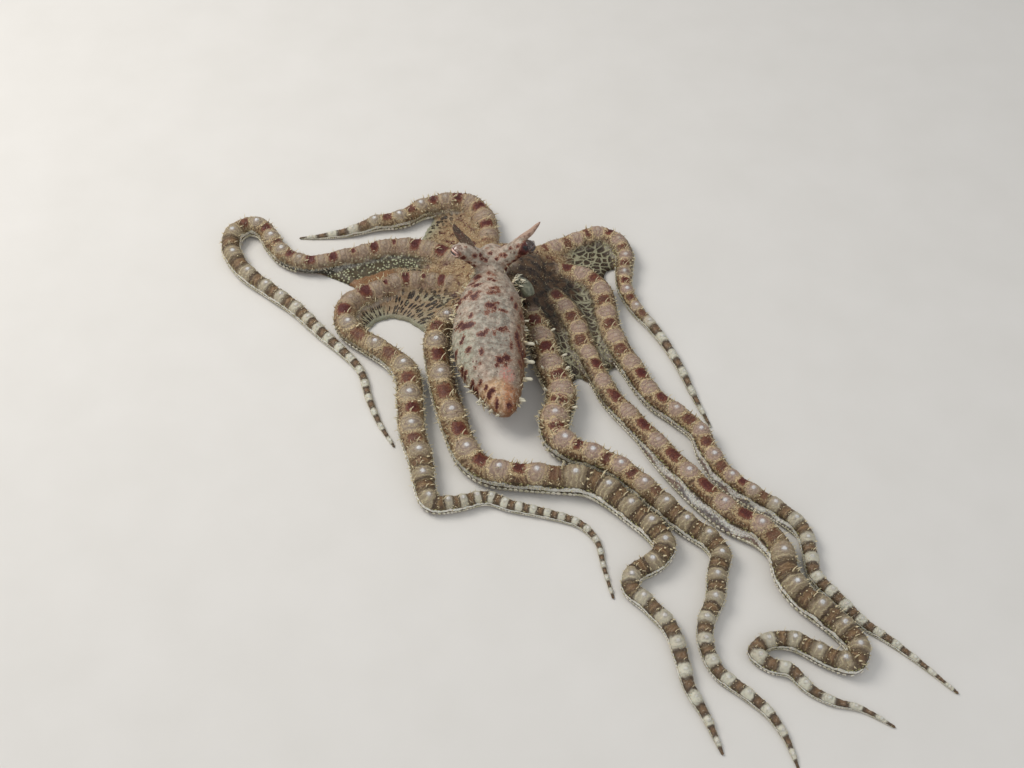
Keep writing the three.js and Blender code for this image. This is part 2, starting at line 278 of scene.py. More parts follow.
FLOOR_HALF = 3000  # millimetres from its middle to each side
floor = mesh_object("floor", [(x * FLOOR_HALF, y * FLOOR_HALF, 0) for x, y in (
    (-1, -1), (1, -1), (1, 1), (-1, 1))], [(0, 1, 2, 3)])
paint = Paint("pale floor")
grain = paint.noise(paint.place(), 0.05, 3)
floor.data.materials.append(paint.finish(
    paint.mix(grain, (206, 203, 197), (214, 211, 206)), 0.85))

# %% [markdown]
# ## Routes of the arms
# Each arm follows a smooth curve through a few way points. A way point is a place on the
# floor and the arm's radius there. The bands of the pattern are counted along the arm, so
# each arm also has a short table that says how many bands lie before a given distance.

# %% Arm routes
ARMS = {
    "l1": [[-14.5, 67, 3.3], [-16.5, 73, 3.5], [-16.5, 80, 3.7], [-18.5, 88, 3.8],
           [-23, 93.2, 3.8], [-30, 93.6, 3.8], [-38, 91.5, 3.4], [-44, 87.5, 3],
           [-52, 86, 2.6], [-60, 83, 1.8], [-68, 81.5, 1.1], [-76, 81, 0.5]],
    "l2": [[-19, 62.5, 3.3], [-24.5, 66, 3.5], [-31, 70.5, 3.7], [-39, 73, 3.7],
           [-47, 73.5, 3.5], [-59, 70, 3.3], [-70, 67, 3.1], [-78, 69.5, 3.1],
           [-83, 75, 3.2], [-87, 82, 3.2], [-92.5, 84, 3.2], [-96.5, 80, 3.2],
           [-96.5, 73, 3.1], [-91, 64, 2.8], [-82, 56, 2.5], [-73.5, 48.5, 2.3],
           [-65.5, 39.5, 2], [-58.3, 32, 1.6], [-53, 25, 1.3], [-50, 15, 1.15],
           [-46.5, 6, 0.9], [-42, -2, 0.5]],
    "l3": [[-19.5, 57.5, 3.3], [-25, 56.8, 3.5], [-32, 58, 3.6], [-41, 58.5, 3.7],
           [-49, 55, 3.8], [-57, 50, 3.8], [-59, 44.5, 3.7], [-56.5, 38.8, 3.6],
           [-50, 33.3, 3.4], [-43.5, 28, 3.6], [-39, 21, 4], [-37.8, 11, 4.1],
           [-36.8, 1, 4], [-34, -9, 3.7], [-32.7, -17, 3.3], [-30.5, -22.5, 2.8],
           [-24, -22.5, 2.4], [-16, -20.5, 2.1], [-9, -23, 1.8], [1, -25.5, 1.5],
           [9, -28.5, 1.3], [13.5, -34, 1], [15, -42, 0.75], [17, -51, 0.5]],
    "l4": [[-17, 53, 3.3], [-21, 49, 3.5], [-26.5, 44.5, 3.8], [-30.5, 38.5, 4.1],
           [-31, 31, 4.1], [-29.5, 21, 4.1], [-27.3, 11, 4.2], [-24, 0, 4.2],
           [-20.8, -8, 4.1], [-15, -13, 4], [-7, -14.5, 4], [4, -15.5, 4.1],
           [12, -16.5, 4.1], [18, -20.5, 3.9], [23.5, -26, 3.6], [29, -32, 3.4],
           [31, -37, 3.2], [28, -41.5, 3], [23, -44.5, 2.8], [21.5, -49, 2.5],
           [26, -54, 2.4], [31, -61, 2.3], [33, -69, 2], [34.5, -77, 1.7],
           [38, -85, 1.3], [41, -94, 0.5]],
    "r1": [[-5.5, 65.5, 3.3], [-1.5, 69.5, 3.4], [5, 73, 3.5], [11.5, 76.5, 3.5],
           [18, 79, 3.5], [23.5, 76.5, 3.3], [26, 71, 3.1], [25.5, 64.5, 2.9],
           [25.5, 57, 2.5], [28.5, 49, 2.1], [33, 42, 1.8], [37, 34, 1.5],
           [40.5, 25, 1.3], [43.5, 15, 0.95], [47, 5, 0.5]],
    "r2": [[-2.5, 60.5, 3.3], [2.5, 62, 3.5], [9, 62, 3.6], [15.5, 58.5, 3.7],
           [18.5, 52, 3.7], [19.5, 43, 3.6], [21.5, 34, 3.6], [26, 24, 3.5],
           [31, 14, 3.3], [37, 8, 3.2], [43, 1.5, 3.1], [46, -7, 3], [50, -14, 2.8],
           [56, -19.5, 2.7], [63, -25, 2.5], [68, -31, 2.4], [69, -38, 2.2],
           [69.5, -45, 2], [74, -51.5, 1.9], [79.5, -58.5, 1.6], [85.5, -63.5, 1.25],
           [92, -69.5, 0.9], [100, -78, 0.5]],
    "r3": [[-3, 56, 3.3], [1.5, 53.5, 3.4], [5.8, 49, 3.4], [9.5, 42, 3.4], [12, 33, 3.3],
           [15, 24, 3.3], [19, 14, 3.3], [25, 5, 3.3], [31.3, -3.8, 3.4],
           [37.8, -12.5, 3.4], [44.2, -20.6, 3.4], [50.4, -27.2, 3.5], [57.3, -32, 3.6],
           [61, -38, 3.6], [62, -46, 3.7], [65, -52, 3.6], [70, -57, 3.6],
           [74.5, -62, 3.4], [77, -66.5, 3.2], [75, -71, 3], [69, -69, 2.8],
           [62, -64.8, 2.6], [56, -64.3, 2.4], [51.5, -67.3, 2.2], [55, -71, 2.1],
           [60, -72.6, 1.9], [63.5, -77, 1.6], [69, -80.5, 1.3], [76, -82.5, 0.9],
           [83, -87, 0.5]],
    "r4": [[-6, 51.5, 3.3], [-4, 47.5, 3.5], [-2, 40, 3.9], [0, 32, 4.2], [2, 24, 4.4],
           [4.5, 17, 4.5], [4.8, 11, 4.6], [3, 4.5, 4.6], [3.5, -1.5, 4.4], [8, -5.8, 4],
           [14, -8.2, 3.8], [20.5, -12, 3.6], [26.3, -17.8, 3.6], [31.5, -23.5, 3.4],
           [37.3, -29.8, 3.2], [43, -34.5, 3.1], [45.5, -39.5, 3], [44, -45, 2.9],
           [43, -52, 2.7], [40, -59, 2.4], [39.5, -66, 2.2], [42, -73, 2],
           [47.5, -78, 1.8], [53, -83.5, 1.5], [56.5, -90, 1], [58.5, -97.5, 0.5]],
}
# [distance in mm, dark bands counted so far]
BANDS = {
    "l1": [[15, 0], [32, 2], [48, 4], [64, 6], [84, 9]],
    "l2": [[14, 0], [23, 1], [36, 3], [49, 5], [77, 9], [96, 11], [115, 13], [135, 16],
           [155, 20], [193, 27]],
    "l3": [[11, 0], [22, 2], [35, 4], [56, 6], [81, 8], [103, 10], [125, 13], [188, 29]],
    "l4": [[21, 0], [32, 1], [46, 2], [61, 3], [73, 4], [84, 5], [93.5, 6], [105, 7],
           [121, 9], [134.5, 11], [149, 13], [172, 16], [187, 18], [198, 20]],
    "r1": [[16, 0], [38.5, 3], [72.5, 8], [110, 13.3]],
    "r2": [[20, 0], [39, 2], [60, 4], [81, 6], [99, 8], [127, 12], [139, 14], [165, 19],
           [186, 23]],
    "r3": [[9, 0], [28, 2], [38, 3], [51, 4], [90, 7], [104, 8], [113, 9], [124, 10],
           [133, 11], [141, 12], [220, 24]],
    "r4": [[12, 0], [35, 2], [54, 4], [88.5, 8], [103.5, 10], [130, 14], [178, 22]],
}
# Distance at which broad pale and dark bands take over from square blotches
BANDED_FROM = {"l1": 62, "l2": 88, "l3": 106, "l4": 92, "r1": 66, "r2": 112, "r3": 114,
               "r4": 86}
# Distance up to which the arm is smooth, without domes and dots
SMOOTH_TO = {"l1": 40, "l2": 62, "l3": 46, "l4": 6, "r1": 40, "r2": 74, "r3": 74, "r4": 46}
# Blotches that are only specks, by their number along the arm
WEAK = {"l2": (2, 4), "l3": (1, 3)}
# Distance up to which the arm is moulded together with the webs
MOULDED_TO = {"l1": 50, "l2": 66, "l3": 64, "l4": 30, "r1": 50, "r2": 55, "r3": 52, "r4": 44}
# Thin side skirts on the floor, to the right of two arms: from, to, width
SKIRTS = {"r2": (86, 128, 2.6), "r3": (66, 118, 4)}
COAT = 0.15  # the flesh lies this far inside the outline, to leave room for its papillae
ROOT_LIFT, ROOT_REACH = 2.2, 14.0  # how high the roots rise into the crown, and how far out
print("arms:", ", ".join(ARMS))

# %% [markdown]
# An arm's section is round on top and stands on the floor with nearly upright sides. `Arm`
# gives that section at any distance from the root. The skin, the suckers and the flaps all
# ask it for their places.

# %% Arm sections
def curve_through(points, steps=12):
    """Points on a smooth curve through way points, and the distance travelled to each."""
    way = np.array(points, float)
    last = len(way) - 1
    u = np.arange(steps)[:, None] / steps
    rows = []
    for i in range(last):
        a, b, c, d = (way[max(i - 1, 0)], way[i], way[i + 1], way[min(i + 2, last)])
        rows.append(0.5 * (2 * b + (c - a) * u + (2 * a - 5 * b + 4 * c - d) * u ** 2
                           + (3 * b - a - 3 * c + d) * u ** 3))
    track = np.vstack(rows + [way[-1:]])
    steps_mm = np.hypot(*np.diff(track[:, :2], axis=0).T)
    return np.concatenate([[0], np.cumsum(steps_mm)]), track


class Arm:
    """One arm's curve, and its section at any distance from its root."""

    def __init__(self, name):
        self.name = name
        self.s, self.track = curve_through(ARMS[name])
        self.length = self.s[-1]
        self.index = list(ARMS).index(name) + 1

    def at(self, s):
        return [np.interp(s, self.s, self.track[:, c]) for c in range(3)]

    def left(self, s):
        """Unit vector to the left of travel."""
        before, after = self.at(np.maximum(s - 0.8, 0)), self.at(
            np.minimum(s + 0.8, self.length))
        dx, dy = after[0] - before[0], after[1] - before[1]
        size = np.hypot(dx, dy)
        return -dy / size, dx / size

    def axis_height(self, s):
        lift = ROOT_LIFT * np.maximum(0, 1 - s / ROOT_REACH) ** 2
        return 0.85 * self.at(s)[2] + lift

    def skirt(self, s):
        start, end, width = SKIRTS.get(self.name, (0, 1, 0))
        t = np.clip((s - start) / (end - start), 0, 1)
        return width * np.sin(math.pi * t) ** 0.7

    def cycles(self, s):
        """Bands counted up to a distance, and the length of one band there."""
        table = np.array(BANDS[self.name], float)
        (start, first), (after, second) = table[:2]
        slope = (second - first) / (after - start)

        def count(d):
            return np.where(d < start, first + (d - start) * slope,
                            np.interp(d, table[:, 0], table[:, 1]))
        return count(s), 2 / np.maximum(count(s + 1) - count(s - 1), 0.05)

    def outline(self, s, turn):
        """Points of the section: across (to the right) and up, for angles from the top."""
        r = self.at(s)[2] - COAT
        axis = self.axis_height(s) - COAT * 0.5
        side, up = np.sin(turn), np.cos(turn)
        low = np.clip(-up, 0, 1)
        across = r * side * (1 - 0.16 * low * (1 - 0.4 * low))
        height = np.where(up > 0, axis + r * up, axis * (1 - low ** 0.75))
        across = across + self.skirt(s) * np.clip(side, 0, 1) * low ** 0.5
        return across, height

    def surface(self, s, turn):
        x, y, _ = self.at(s)
        lx, ly = self.left(s)
        across, height = self.outline(s, turn)
        return np.stack([x - lx * across, y - ly * across, height], -1)


arms = {name: Arm(name) for name in ARMS}
print("arm lengths in mm:", {n: round(float(a.length)) for n, a in arms.items()})

# %% [markdown]
# ## Lofts
# A loft is a row of rings, joined into a closed tube. All the solids of the body, the eyes
# and the small parts are lofts. They differ only in where their rings lie.

# %% Lofts
def circle(sides):
    """Angles of equally spaced points round a circle."""
    return np.arange(sides) * 2 * math.pi / sides


def unit(vector):
    return np.asarray(vector, float) / np.linalg.norm(vector)


def ring(centre, right, up, sides, width=1.0, height=1.0):
    """Points on an oval round a centre, between two directions."""
    turn = circle(sides)
    return (np.asarray(centre) + np.outer(np.cos(turn) * width, right)
            + np.outer(np.sin(turn) * height, up))


def loft(rings):
    """Points and faces over rings of equal count, closed at both ends."""
    rings = list(rings)
    count, total = len(rings[0]), len(rings)
    points = np.concatenate(rings + [[np.mean(rings[0], 0)], [np.mean(rings[-1], 0)]])
    faces = []
    for i in range(total - 1):
        for j in range(count):
            a, b = i * count + j, i * count + (j + 1) % count
            faces.append((a, b, b + count, a + count))
    start, end = total * count, total * count + 1
    for j in range(count):
        k = (j + 1) % count
        faces.append((start, k, j))
        faces.append((end, (total - 1) * count + j, (total - 1) * count + k))
    return points, faces


def tube_rings(stations, sides=20):
    """A round tube through stations, each a centre and a radius."""
    stations = list(stations)
    for i, (centre, radius) in enumerate(stations):
        along = unit(np.subtract(stations[min(i + 1, len(stations) - 1)][0],
                                 stations[max(i - 1, 0)][0]))
        right = unit(np.cross(along, (0.05, 0.1, 1)))
        yield ring(centre, right * radius, np.cross(right, along) * radius, sides)


def ball_rings(centre, radii, down=16):
    for a in np.linspace(0.06, math.pi - 0.06, down):
        yield ring(np.add(centre, (0, 0, radii[2] * math.cos(a))), (radii[0], 0, 0),
                   (0, radii[1], 0), 28, math.sin(a), math.sin(a))


print("a ring of 4 sides:", np.round(ring((0, 0, 0), (1, 0, 0), (0, 1, 0), 4), 3).tolist())

# %% [markdown]
# ## The body's solids
# Mantle, head, stalks, eyelids, crown and arm roots overlap here on purpose. A later step
# melts them into one form.

# %% Sizes of the body
CROWN_CENTRE = np.array([-11.0, 59.0])
NECK = np.array([-15.2, 49.4, 16.0])
REAR = np.array([-13.7, 2.9, 7.5])
MANTLE_RADIUS = 11
MANTLE_FLATNESS = 0.86
MANTLE_SAG = 0.6
# Place along the mantle, its width there, and its shift to the right
MANTLE_WIDTHS = curve_through([
    [0, 0.42, 0], [0.1, 0.66, -0.2], [0.2, 0.84, -0.5], [0.32, 0.94, -0.8], [0.46, 0.98, -1.1],
    [0.6, 0.94, -0.9], [0.72, 0.82, -0.2], [0.82, 0.66, 0.9], [0.9, 0.49, 1.8],
    [0.96, 0.32, 2.4], [1, 0.1, 2.7]])[1]
HEAD_CENTRE, HEAD_RADII = np.array([-15, 53, 17]), np.array([5.1, 6.2, 5.9])
NAPE_CENTRE, NAPE_RADII = (-15.1, 50.6, 20), (2.3, 2.3, 2)     # the bump between the stalks
CROWN_PROFILE = np.array([[0.8, 0], [0.97, 0.12], [1, 0.35], [0.97, 0.55], [0.86, 0.76],
                          [0.62, 0.92], [0.32, 0.985], [0.02, 1]]) * [12.7, 11.9]
STALKS = {
    "left": {"foot": (-17, 51.5, 19), "tip": (-23.4, 50.6, 25.4), "eye": (-24.6, 49.6, 25.6),
             "looks": (-0.80, -0.58, 0.16),
             "horn": [(-20.4, 51, 25.2), (-24.6, 53.2, 29.4), (-25.8, 54.6, 31.7)]},
    "right": {"foot": (-13, 52.5, 19), "tip": (-5.6, 52.4, 25.4), "eye": (-4.2, 51.6, 25.4),
              "looks": (0.84, -0.52, 0.14),
              "horn": [(-8, 52.8, 25.6), (-4, 54.2, 28.4), (-0.8, 56, 31.2)]},
}
# The fleshy ring round an eye: how far out it lies, its half width and height, its thickness
LID_OUT, LID_WIDE, LID_HIGH, LID_THICK = 0.55, 1.95, 1.5, 0.62
print("head at", HEAD_CENTRE.tolist(), "mantle from", NECK.tolist(), "to", REAR.tolist())

# %% [markdown]
# Each solid is a function that gives rings, one by one. `loft` closes them into a mesh.

# %% Solids of the body
def mantle_share(y):
    """Place along the mantle, from neck (0) to rear end (1), at a y of the plan."""
    return (NECK[1] - y) / (NECK[1] - REAR[1])


def mantle_at(t):
    """Centre and half width of the mantle, from neck (0) to rear end (1)."""
    centre = NECK + np.multiply.outer(t, REAR - NECK)
    centre[..., 2] -= MANTLE_SAG * np.sin(math.pi * t)
    centre[..., 0] += np.interp(t, MANTLE_WIDTHS[:, 0], MANTLE_WIDTHS[:, 2])
    half = np.interp(t, MANTLE_WIDTHS[:, 0], MANTLE_WIDTHS[:, 1]) * MANTLE_RADIUS
    return centre, half - 2 * COAT


def mantle_rings():
    for t in np.linspace(0, 1, 48):
        centre, half = mantle_at(np.array(t))
        half = max(half, 0.9)
        yield ring(centre, (1, 0, 0), (0, 0, 1), 40, half, half * MANTLE_FLATNESS)


def stalk_stations(side):
    foot, tip = (np.array(STALKS[side][end], float) for end in ("foot", "tip"))
    return [(foot, 3.3), (foot * 0.7 + tip * 0.3, 3.0), (foot * 0.4 + tip * 0.6, 2.8),
            (tip, 2.8), (tip + unit(tip - foot) * 1.5, 1.8)]


def eye_frame(side):
    """Centre of an eye, the direction in which it looks, and its own right and up."""
    looks = unit(STALKS[side]["looks"])
    right = unit(np.cross(looks, (0, 0, 1)))
    return np.array(STALKS[side]["eye"], float), looks, right, np.cross(right, looks)


def lid_stations(side):
    """A fleshy ring round the eye, as a closed chain of stations."""
    centre, looks, right, up = eye_frame(side)
    for a in np.linspace(0, 2 * math.pi, 25):
        yield (centre + looks * LID_OUT + right * LID_WIDE * math.cos(a)
               + up * LID_HIGH * math.sin(a)), LID_THICK


def crown_rings():
    for radius, height, _ in curve_through([[*p, 0] for p in CROWN_PROFILE], 5)[1]:
        yield ring((*CROWN_CENTRE, height), (1, 0, 0), (0, 1, 0), 48, radius, radius)


def arm_rings(arm, start, end, step, sides):
    turn = math.pi - circle(sides)
    for s in np.linspace(start, end, max(2, int(round((end - start) / step)) + 1)):
        yield arm.surface(np.full(sides, s), turn)


body_forms = [mantle_rings(), ball_rings(HEAD_CENTRE, HEAD_RADII),
              ball_rings(NAPE_CENTRE, NAPE_RADII), crown_rings()]
for side in STALKS:
    body_forms += [tube_rings(stalk_stations(side)), tube_rings(lid_stations(side), 12)]
for name, arm in arms.items():
    body_forms.append(arm_rings(arm, 0.5, MOULDED_TO[name] + 2, 0.7, 40))
body_solids = [loft(rings) for rings in body_forms]
print("solids to melt together:", len(body_solids))

# %% [markdown]
# ## Webs
# A web is a thin sheet between two arms. Its outline runs out along one arm, round a free
# rim and back along the other. The sheet slopes down from the crown and thins at the rim.
# A constrained triangulation fills the outline, which a plain grid could not follow.

# %% Webs
WEBS = {
    "l1_r1": (("l1", 14), ("r1", 12), [[-10, 76]]),
    "l1_l2": (("l1", 38), ("l2", 24), [[-37, 82]]),
    "l2_l3": (("l2", 62), ("l3", 42), [[-64, 63], [-57, 59]]),
    "l3_l4": (("l3", 58), ("l4", 22), [[-53, 40], [-49.5, 45], [-45, 46.5], [-40, 45]]),
    "l4_r4": (("l4", 16), ("r4", 16), [[-13, 41]]),
    "r3_r4": (("r4", 38), ("r3", 44), [[10, 23]]),
    "r2_r3": (("r3", 46), ("r2", 50), [[19, 25]]),
    "r1_r2": (("r2", 26), ("r1", 42), [[20, 66]]),
}
# Distance from the crown's middle, and how high the webs stand there
TENT = np.array([[0, 8], [12, 7.4], [16, 5], [24, 3], [36, 2.2], [60, 1.5]])
WEB_STEP = 1.5
FILLET, FILLET_HIGH = 2.4, 1.5  # how far a web swells beside an arm, and how high, in radii
RIM_THICK, RIM_SLOPE = 1.0, 0.45    # at the free rim, and the rise inwards from it


def resample(points, step):
    """Points at equal steps along a bent line."""
    points = np.asarray(points, float)
    gaps = np.hypot(*np.diff(points, axis=0).T)
    s = np.concatenate([[0], np.cumsum(gaps)])
    marks = np.linspace(0, s[-1], max(2, int(s[-1] / step) + 1))
    return np.stack([np.interp(marks, s, points[:, c]) for c in (0, 1)], -1)


def web_outline(first, second, rim):
    """The closed outline, and the part of it that is a free rim."""
    def axis(name, end):
        return np.stack(arms[name].at(np.linspace(0, end, int(end / WEB_STEP) + 2))[:2], -1)
    out, back = axis(*first), axis(*second)[::-1]
    free = resample(np.vstack([out[-1:], rim, back[:1]]), WEB_STEP)
    return np.vstack([[CROWN_CENTRE], out, free[1:-1], back]), free


def distance_to_line(points, line):
    a, b = line[:-1], line[1:]
    ab = b - a
    t = ((points[:, None] - a) * ab).sum(-1) / np.maximum((ab ** 2).sum(-1), 1e-9)
    nearest = a + np.clip(t, 0, 1)[..., None] * ab
    return np.linalg.norm(points[:, None] - nearest, axis=-1).min(1)


def web_solid(first, second, rim):
    """Points and faces of one web, from its sloping top down to the floor."""
    outline, free = web_outline(first, second, rim)
    low, high = outline.min(0), outline.max(0)
    grid = np.stack(np.meshgrid(*[np.arange(low[c], high[c], WEB_STEP) for c in (0, 1)]),
                    -1).reshape(-1, 2)
    closed = np.vstack([outline, outline[:1]])
    grid = grid[distance_to_line(grid, closed) > WEB_STEP * 0.6]
    points = [Vector(p) for p in np.vstack([outline, grid])]
    count = len(outline)
    flat, _, faces, *_ = geometry.delaunay_2d_cdt(
        points, [(i, (i + 1) % count) for i in range(count)], [list(range(count))], 1, 1e-4)
    flat = np.array([tuple(p) for p in flat])
    radius = np.linalg.norm(flat - CROWN_CENTRE, axis=1)
    top = np.interp(radius, TENT[:, 0], TENT[:, 1]) - COAT
    for name, end in (first, second):
        s = np.arange(0, end + 8, 0.7)
        x, y, r = arms[name].at(s)
        gaps = np.hypot(flat[:, :1] - x, flat[:, 1:] - y) - r
        nearest = gaps.argmin(1)
        top = np.maximum(top, FILLET_HIGH * r[nearest] * np.exp(
            -np.maximum(gaps[np.arange(len(flat)), nearest] + 0.4, 0) / FILLET))
    top = np.minimum(top, RIM_THICK + RIM_SLOPE * distance_to_line(flat, free))
    total = len(flat)
    solid = np.vstack([np.c_[flat, top], np.c_[flat, np.zeros(total)]])
    edges = dict.fromkeys((a, b) for f in faces for a, b in zip(f, f[1:] + f[:1]))
    walls = [(b, a, a + total, b + total) for a, b in edges if (b, a) not in edges]
    return solid, ([tuple(f) for f in faces] + [tuple(v + total for v in f[::-1])
                                                for f in faces] + walls)


web_solids = [web_solid(*spec) for spec in WEBS.values()]
print("webs:", len(web_solids), "with", sum(len(s[0]) for s in web_solids), "points")

# %% [markdown]
# ## One moulded form
# Living flesh has no joints between its parts. A voxel remesh turns all overlapping solids
# into one closed surface, as if they were cast in wax, and a smoothing pass rounds the
# creases. The long free arms are added afterwards from exact sections, because a remesh
# fine enough for their thin tips would be far too heavy here.

# %% Remesh
VOXEL = 0.64


def melted(solids):
    """One closed surface round many overlapping solids."""
    firsts = np.cumsum([0] + [len(points) for points, _ in solids]).tolist()
    faces = [tuple(v + first for v in face)
             for first, (_, part) in zip(firsts, solids) for face in part]
    # The remesh works in whole metres, so one unit stands for a millimetre
    mould = mesh_object("mould", np.vstack([points for points, _ in solids]) / MM, faces)
    remesh = mould.modifiers.new("melt", "REMESH")
    remesh.mode = "VOXEL"
    remesh.voxel_size = VOXEL
    smooth = mould.modifiers.new("soften", "SMOOTH")
    smooth.factor = 0.5
    smooth.iterations = 5
    done = bpy.data.meshes.new_from_object(
        mould.evaluated_get(bpy.context.evaluated_depsgraph_get()))
    bpy.data.objects.remove(mould)
    return done


mould_mesh = melted(body_solids + web_solids)
print("moulded form:", len(mould_mesh.vertices), "points", len(mould_mesh.polygons), "faces")

# %% [markdown]
# ## Who owns a point
# The pattern differs between arms, webs and body, so each point of the moulded form is
# told how far along which arm it lies, and how near it is to the body. Simple distance
# formulas answer that for all points at once.

# %% Distances to the parts
def nearest_on_arms(points):
    """For each point: best arm's number, distance along, turn from the top, and gap."""
    best = {key: np.zeros(len(points)) for key in ("arm", "s", "turn")}
    gap = np.full(len(points), 99.0)
    for arm in arms.values():
        s = np.arange(0, MOULDED_TO[arm.name] + 3, 0.5)
        x, y, r = arm.at(s)
        lx, ly = arm.left(s)
        near = np.argmin((points[:, None, 0] - x) ** 2 + (points[:, None, 1] - y) ** 2, 1)
        dx, dy = points[:, 0] - x[near], points[:, 1] - y[near]
        across = -(dx * lx[near] + dy * ly[near])
        along = s[near] + np.clip(dx * ly[near] - dy * lx[near], -0.5, 0.5)
        overshoot = np.abs(dx * ly[near] - dy * lx[near]) - 0.5
        radius, axis = r[near], arm.axis_height(s)[near]
        up = points[:, 2] - axis
        round_gap = np.hypot(across, up) - radius
        wall_gap = np.abs(across) - radius * (0.72 + 0.28 * np.clip(points[:, 2] / axis, 0, 1))
        distance = np.where(up > 0, round_gap, wall_gap)
        distance = np.abs(distance) + np.maximum(overshoot, 0)
        closer = distance < gap
        gap = np.where(closer, distance, gap)
        for key, value in (("arm", np.full(len(points), float(arm.index))),
                           ("s", np.clip(along, 0, arm.length)),
                           ("turn", np.arctan2(across, up))):
            best[key] = np.where(closer, value, best[key])
    return best, gap


def gap_to_body(points):
    """Distance to the mantle, head or stalks, whichever is nearest."""
    t = np.clip(mantle_share(points[:, 1]), 0, 1)
    centre, half = mantle_at(t)
    past = np.maximum(points[:, 1] - NECK[1], 0) + np.maximum(REAR[1] - points[:, 1], 0)
    mantle = np.abs(np.hypot(points[:, 0] - centre[:, 0],
                             (points[:, 2] - centre[:, 2]) / MANTLE_FLATNESS) - half) + past
    head = np.abs(np.linalg.norm((points - HEAD_CENTRE) / HEAD_RADII, axis=1) - 1) * 6.8
    gaps = [mantle, head]
    for side in STALKS:
        a, b = (np.array(STALKS[side][k], float) for k in ("foot", "tip"))
        u = np.clip((points - a) @ (b - a) / ((b - a) @ (b - a)), 0, 1.3)
        axis = a + u[:, None] * (b - a)
        gaps.append(np.abs(np.linalg.norm(points - axis, axis=1) - 2.9) * 0.8)
    return np.min(gaps, 0)


def gap_to_crown(points):
    """Distance to the crown's wall or roof, whichever is nearest."""
    radius = np.linalg.norm(points[:, :2] - CROWN_CENTRE, axis=1)
    order = np.argsort(CROWN_PROFILE[:, 0])
    roof = np.interp(radius, CROWN_PROFILE[order, 0], CROWN_PROFILE[order, 1])
    wall = np.interp(points[:, 2], CROWN_PROFILE[:, 1], CROWN_PROFILE[:, 0])
    return np.minimum(np.abs(radius - wall), np.abs(points[:, 2] - roof))


def closeness(gap, reach=0.9):
    """1 where there is no gap, falling to 0 over about a millimetre."""
    return np.exp(-(gap / reach) ** 2)


BODY_ABOVE = 11.3     # from this height on, all the flesh is body
mould = np.array([v.co for v in mould_mesh.vertices])
owner, arm_gap = nearest_on_arms(mould)
arm_near = closeness(arm_gap) * np.clip((owner["s"] - 6) / 8, 0, 1)
body_near = np.maximum(closeness(gap_to_body(mould)), np.clip(mould[:, 2] - BODY_ABOVE, 0, 1))
crown_near = closeness(gap_to_crown(mould)) * 0.9
print("points near an arm:", int((arm_near > 0.5).sum()), "near the body:",
      int((body_near > 0.5).sum()))

# %% [markdown]
# ## Cutting the arm roots square
# Each root is cut flat across the arm, and the free part of the arm starts on that cut.
# The points near the cut slide onto the exact section, so the two parts meet in one ring.

# %% Cut the roots
SIDES = 24        # points round a free arm
SLICE = 0.5       # distance between the rings of a free arm
TAGS = ("arm", "s", "turn", "near", "body", "crown")     # what each point of the form carries


def set_tags(v, *values):
    for key, value in zip(TAGS, values):
        v[tags[key]] = value


def settle_on_section(arm, s, place):
    """The nearest point of the arm's exact section at distance s, and its turn."""
    turn = np.linspace(-math.pi, math.pi, 181)[:-1]
    points = arm.surface(np.full(len(turn), float(s)), turn)
    hit = np.argmin(((points - place) ** 2).sum(1))
    return points[hit], turn[hit]


def cut_root(form, arm):
    """Removes what lies beyond the cut, and returns the ring of points left on it."""
    s = float(MOULDED_TO[arm.name])
    x, y, r = (float(v) for v in arm.at(s))
    lx, ly = (float(v) for v in arm.left(s))
    mine = [v for v in form.verts
            if v[tags["arm"]] == arm.index and v[tags["s"]] > s - 3
            and v[tags["body"]] < 0.4 and v.co.z < 2 * r + 1
            and (v.co.x - x) ** 2 + (v.co.y - y) ** 2 < (1.45 * r + 3.5) ** 2]
    inside = set(mine)
    faces = [f for f in form.faces if all(v in inside for v in f.verts)]
    # A dict keeps its order, which a set of mesh parts doesn't: every run cuts alike
    edges = dict.fromkeys(e for f in faces for e in f.edges)
    points = dict.fromkeys(v for f in faces for v in f.verts)
    along = Vector((ly, -lx, 0))
    cut = bmesh.ops.bisect_plane(form, geom=list(points) + list(edges) + faces,
                                 plane_co=(x, y, 0), plane_no=along, clear_outer=True,
                                 dist=1e-5)
    rim = dict.fromkeys(g for g in cut["geom_cut"] if isinstance(g, bmesh.types.BMVert))
    start = next(iter(rim))
    loop, here = [start], start
    while True:
        ahead = [e.other_vert(here) for e in here.link_edges if e.is_boundary]
        ahead = [v for v in ahead if v in rim and v not in loop[-2:] and v is not here]
        if not ahead or ahead[0] is loop[0]:
            break
        here = ahead[0]
        loop.append(here)
    return loop, len(rim)


form = bmesh.new()
form.from_mesh(mould_mesh)
bpy.data.meshes.remove(mould_mesh)
tags = {key: form.verts.layers.float.new(key) for key in TAGS}
for v, *values in zip(form.verts, owner["arm"], owner["s"], owner["turn"], arm_near,
                      body_near, crown_near):
    set_tags(v, *values)

loops = {}
for name, arm in arms.items():
    loops[name], rim_count = cut_root(form, arm)
    print(name, "cut ring", len(loops[name]), "of", rim_count)

# %% [markdown]
# ## The free arms
# Beyond its cut, an arm is a plain tube: ring after ring of exact sections, each a fixed
# small step further on. A zip of triangles joins its first ring to the cut.

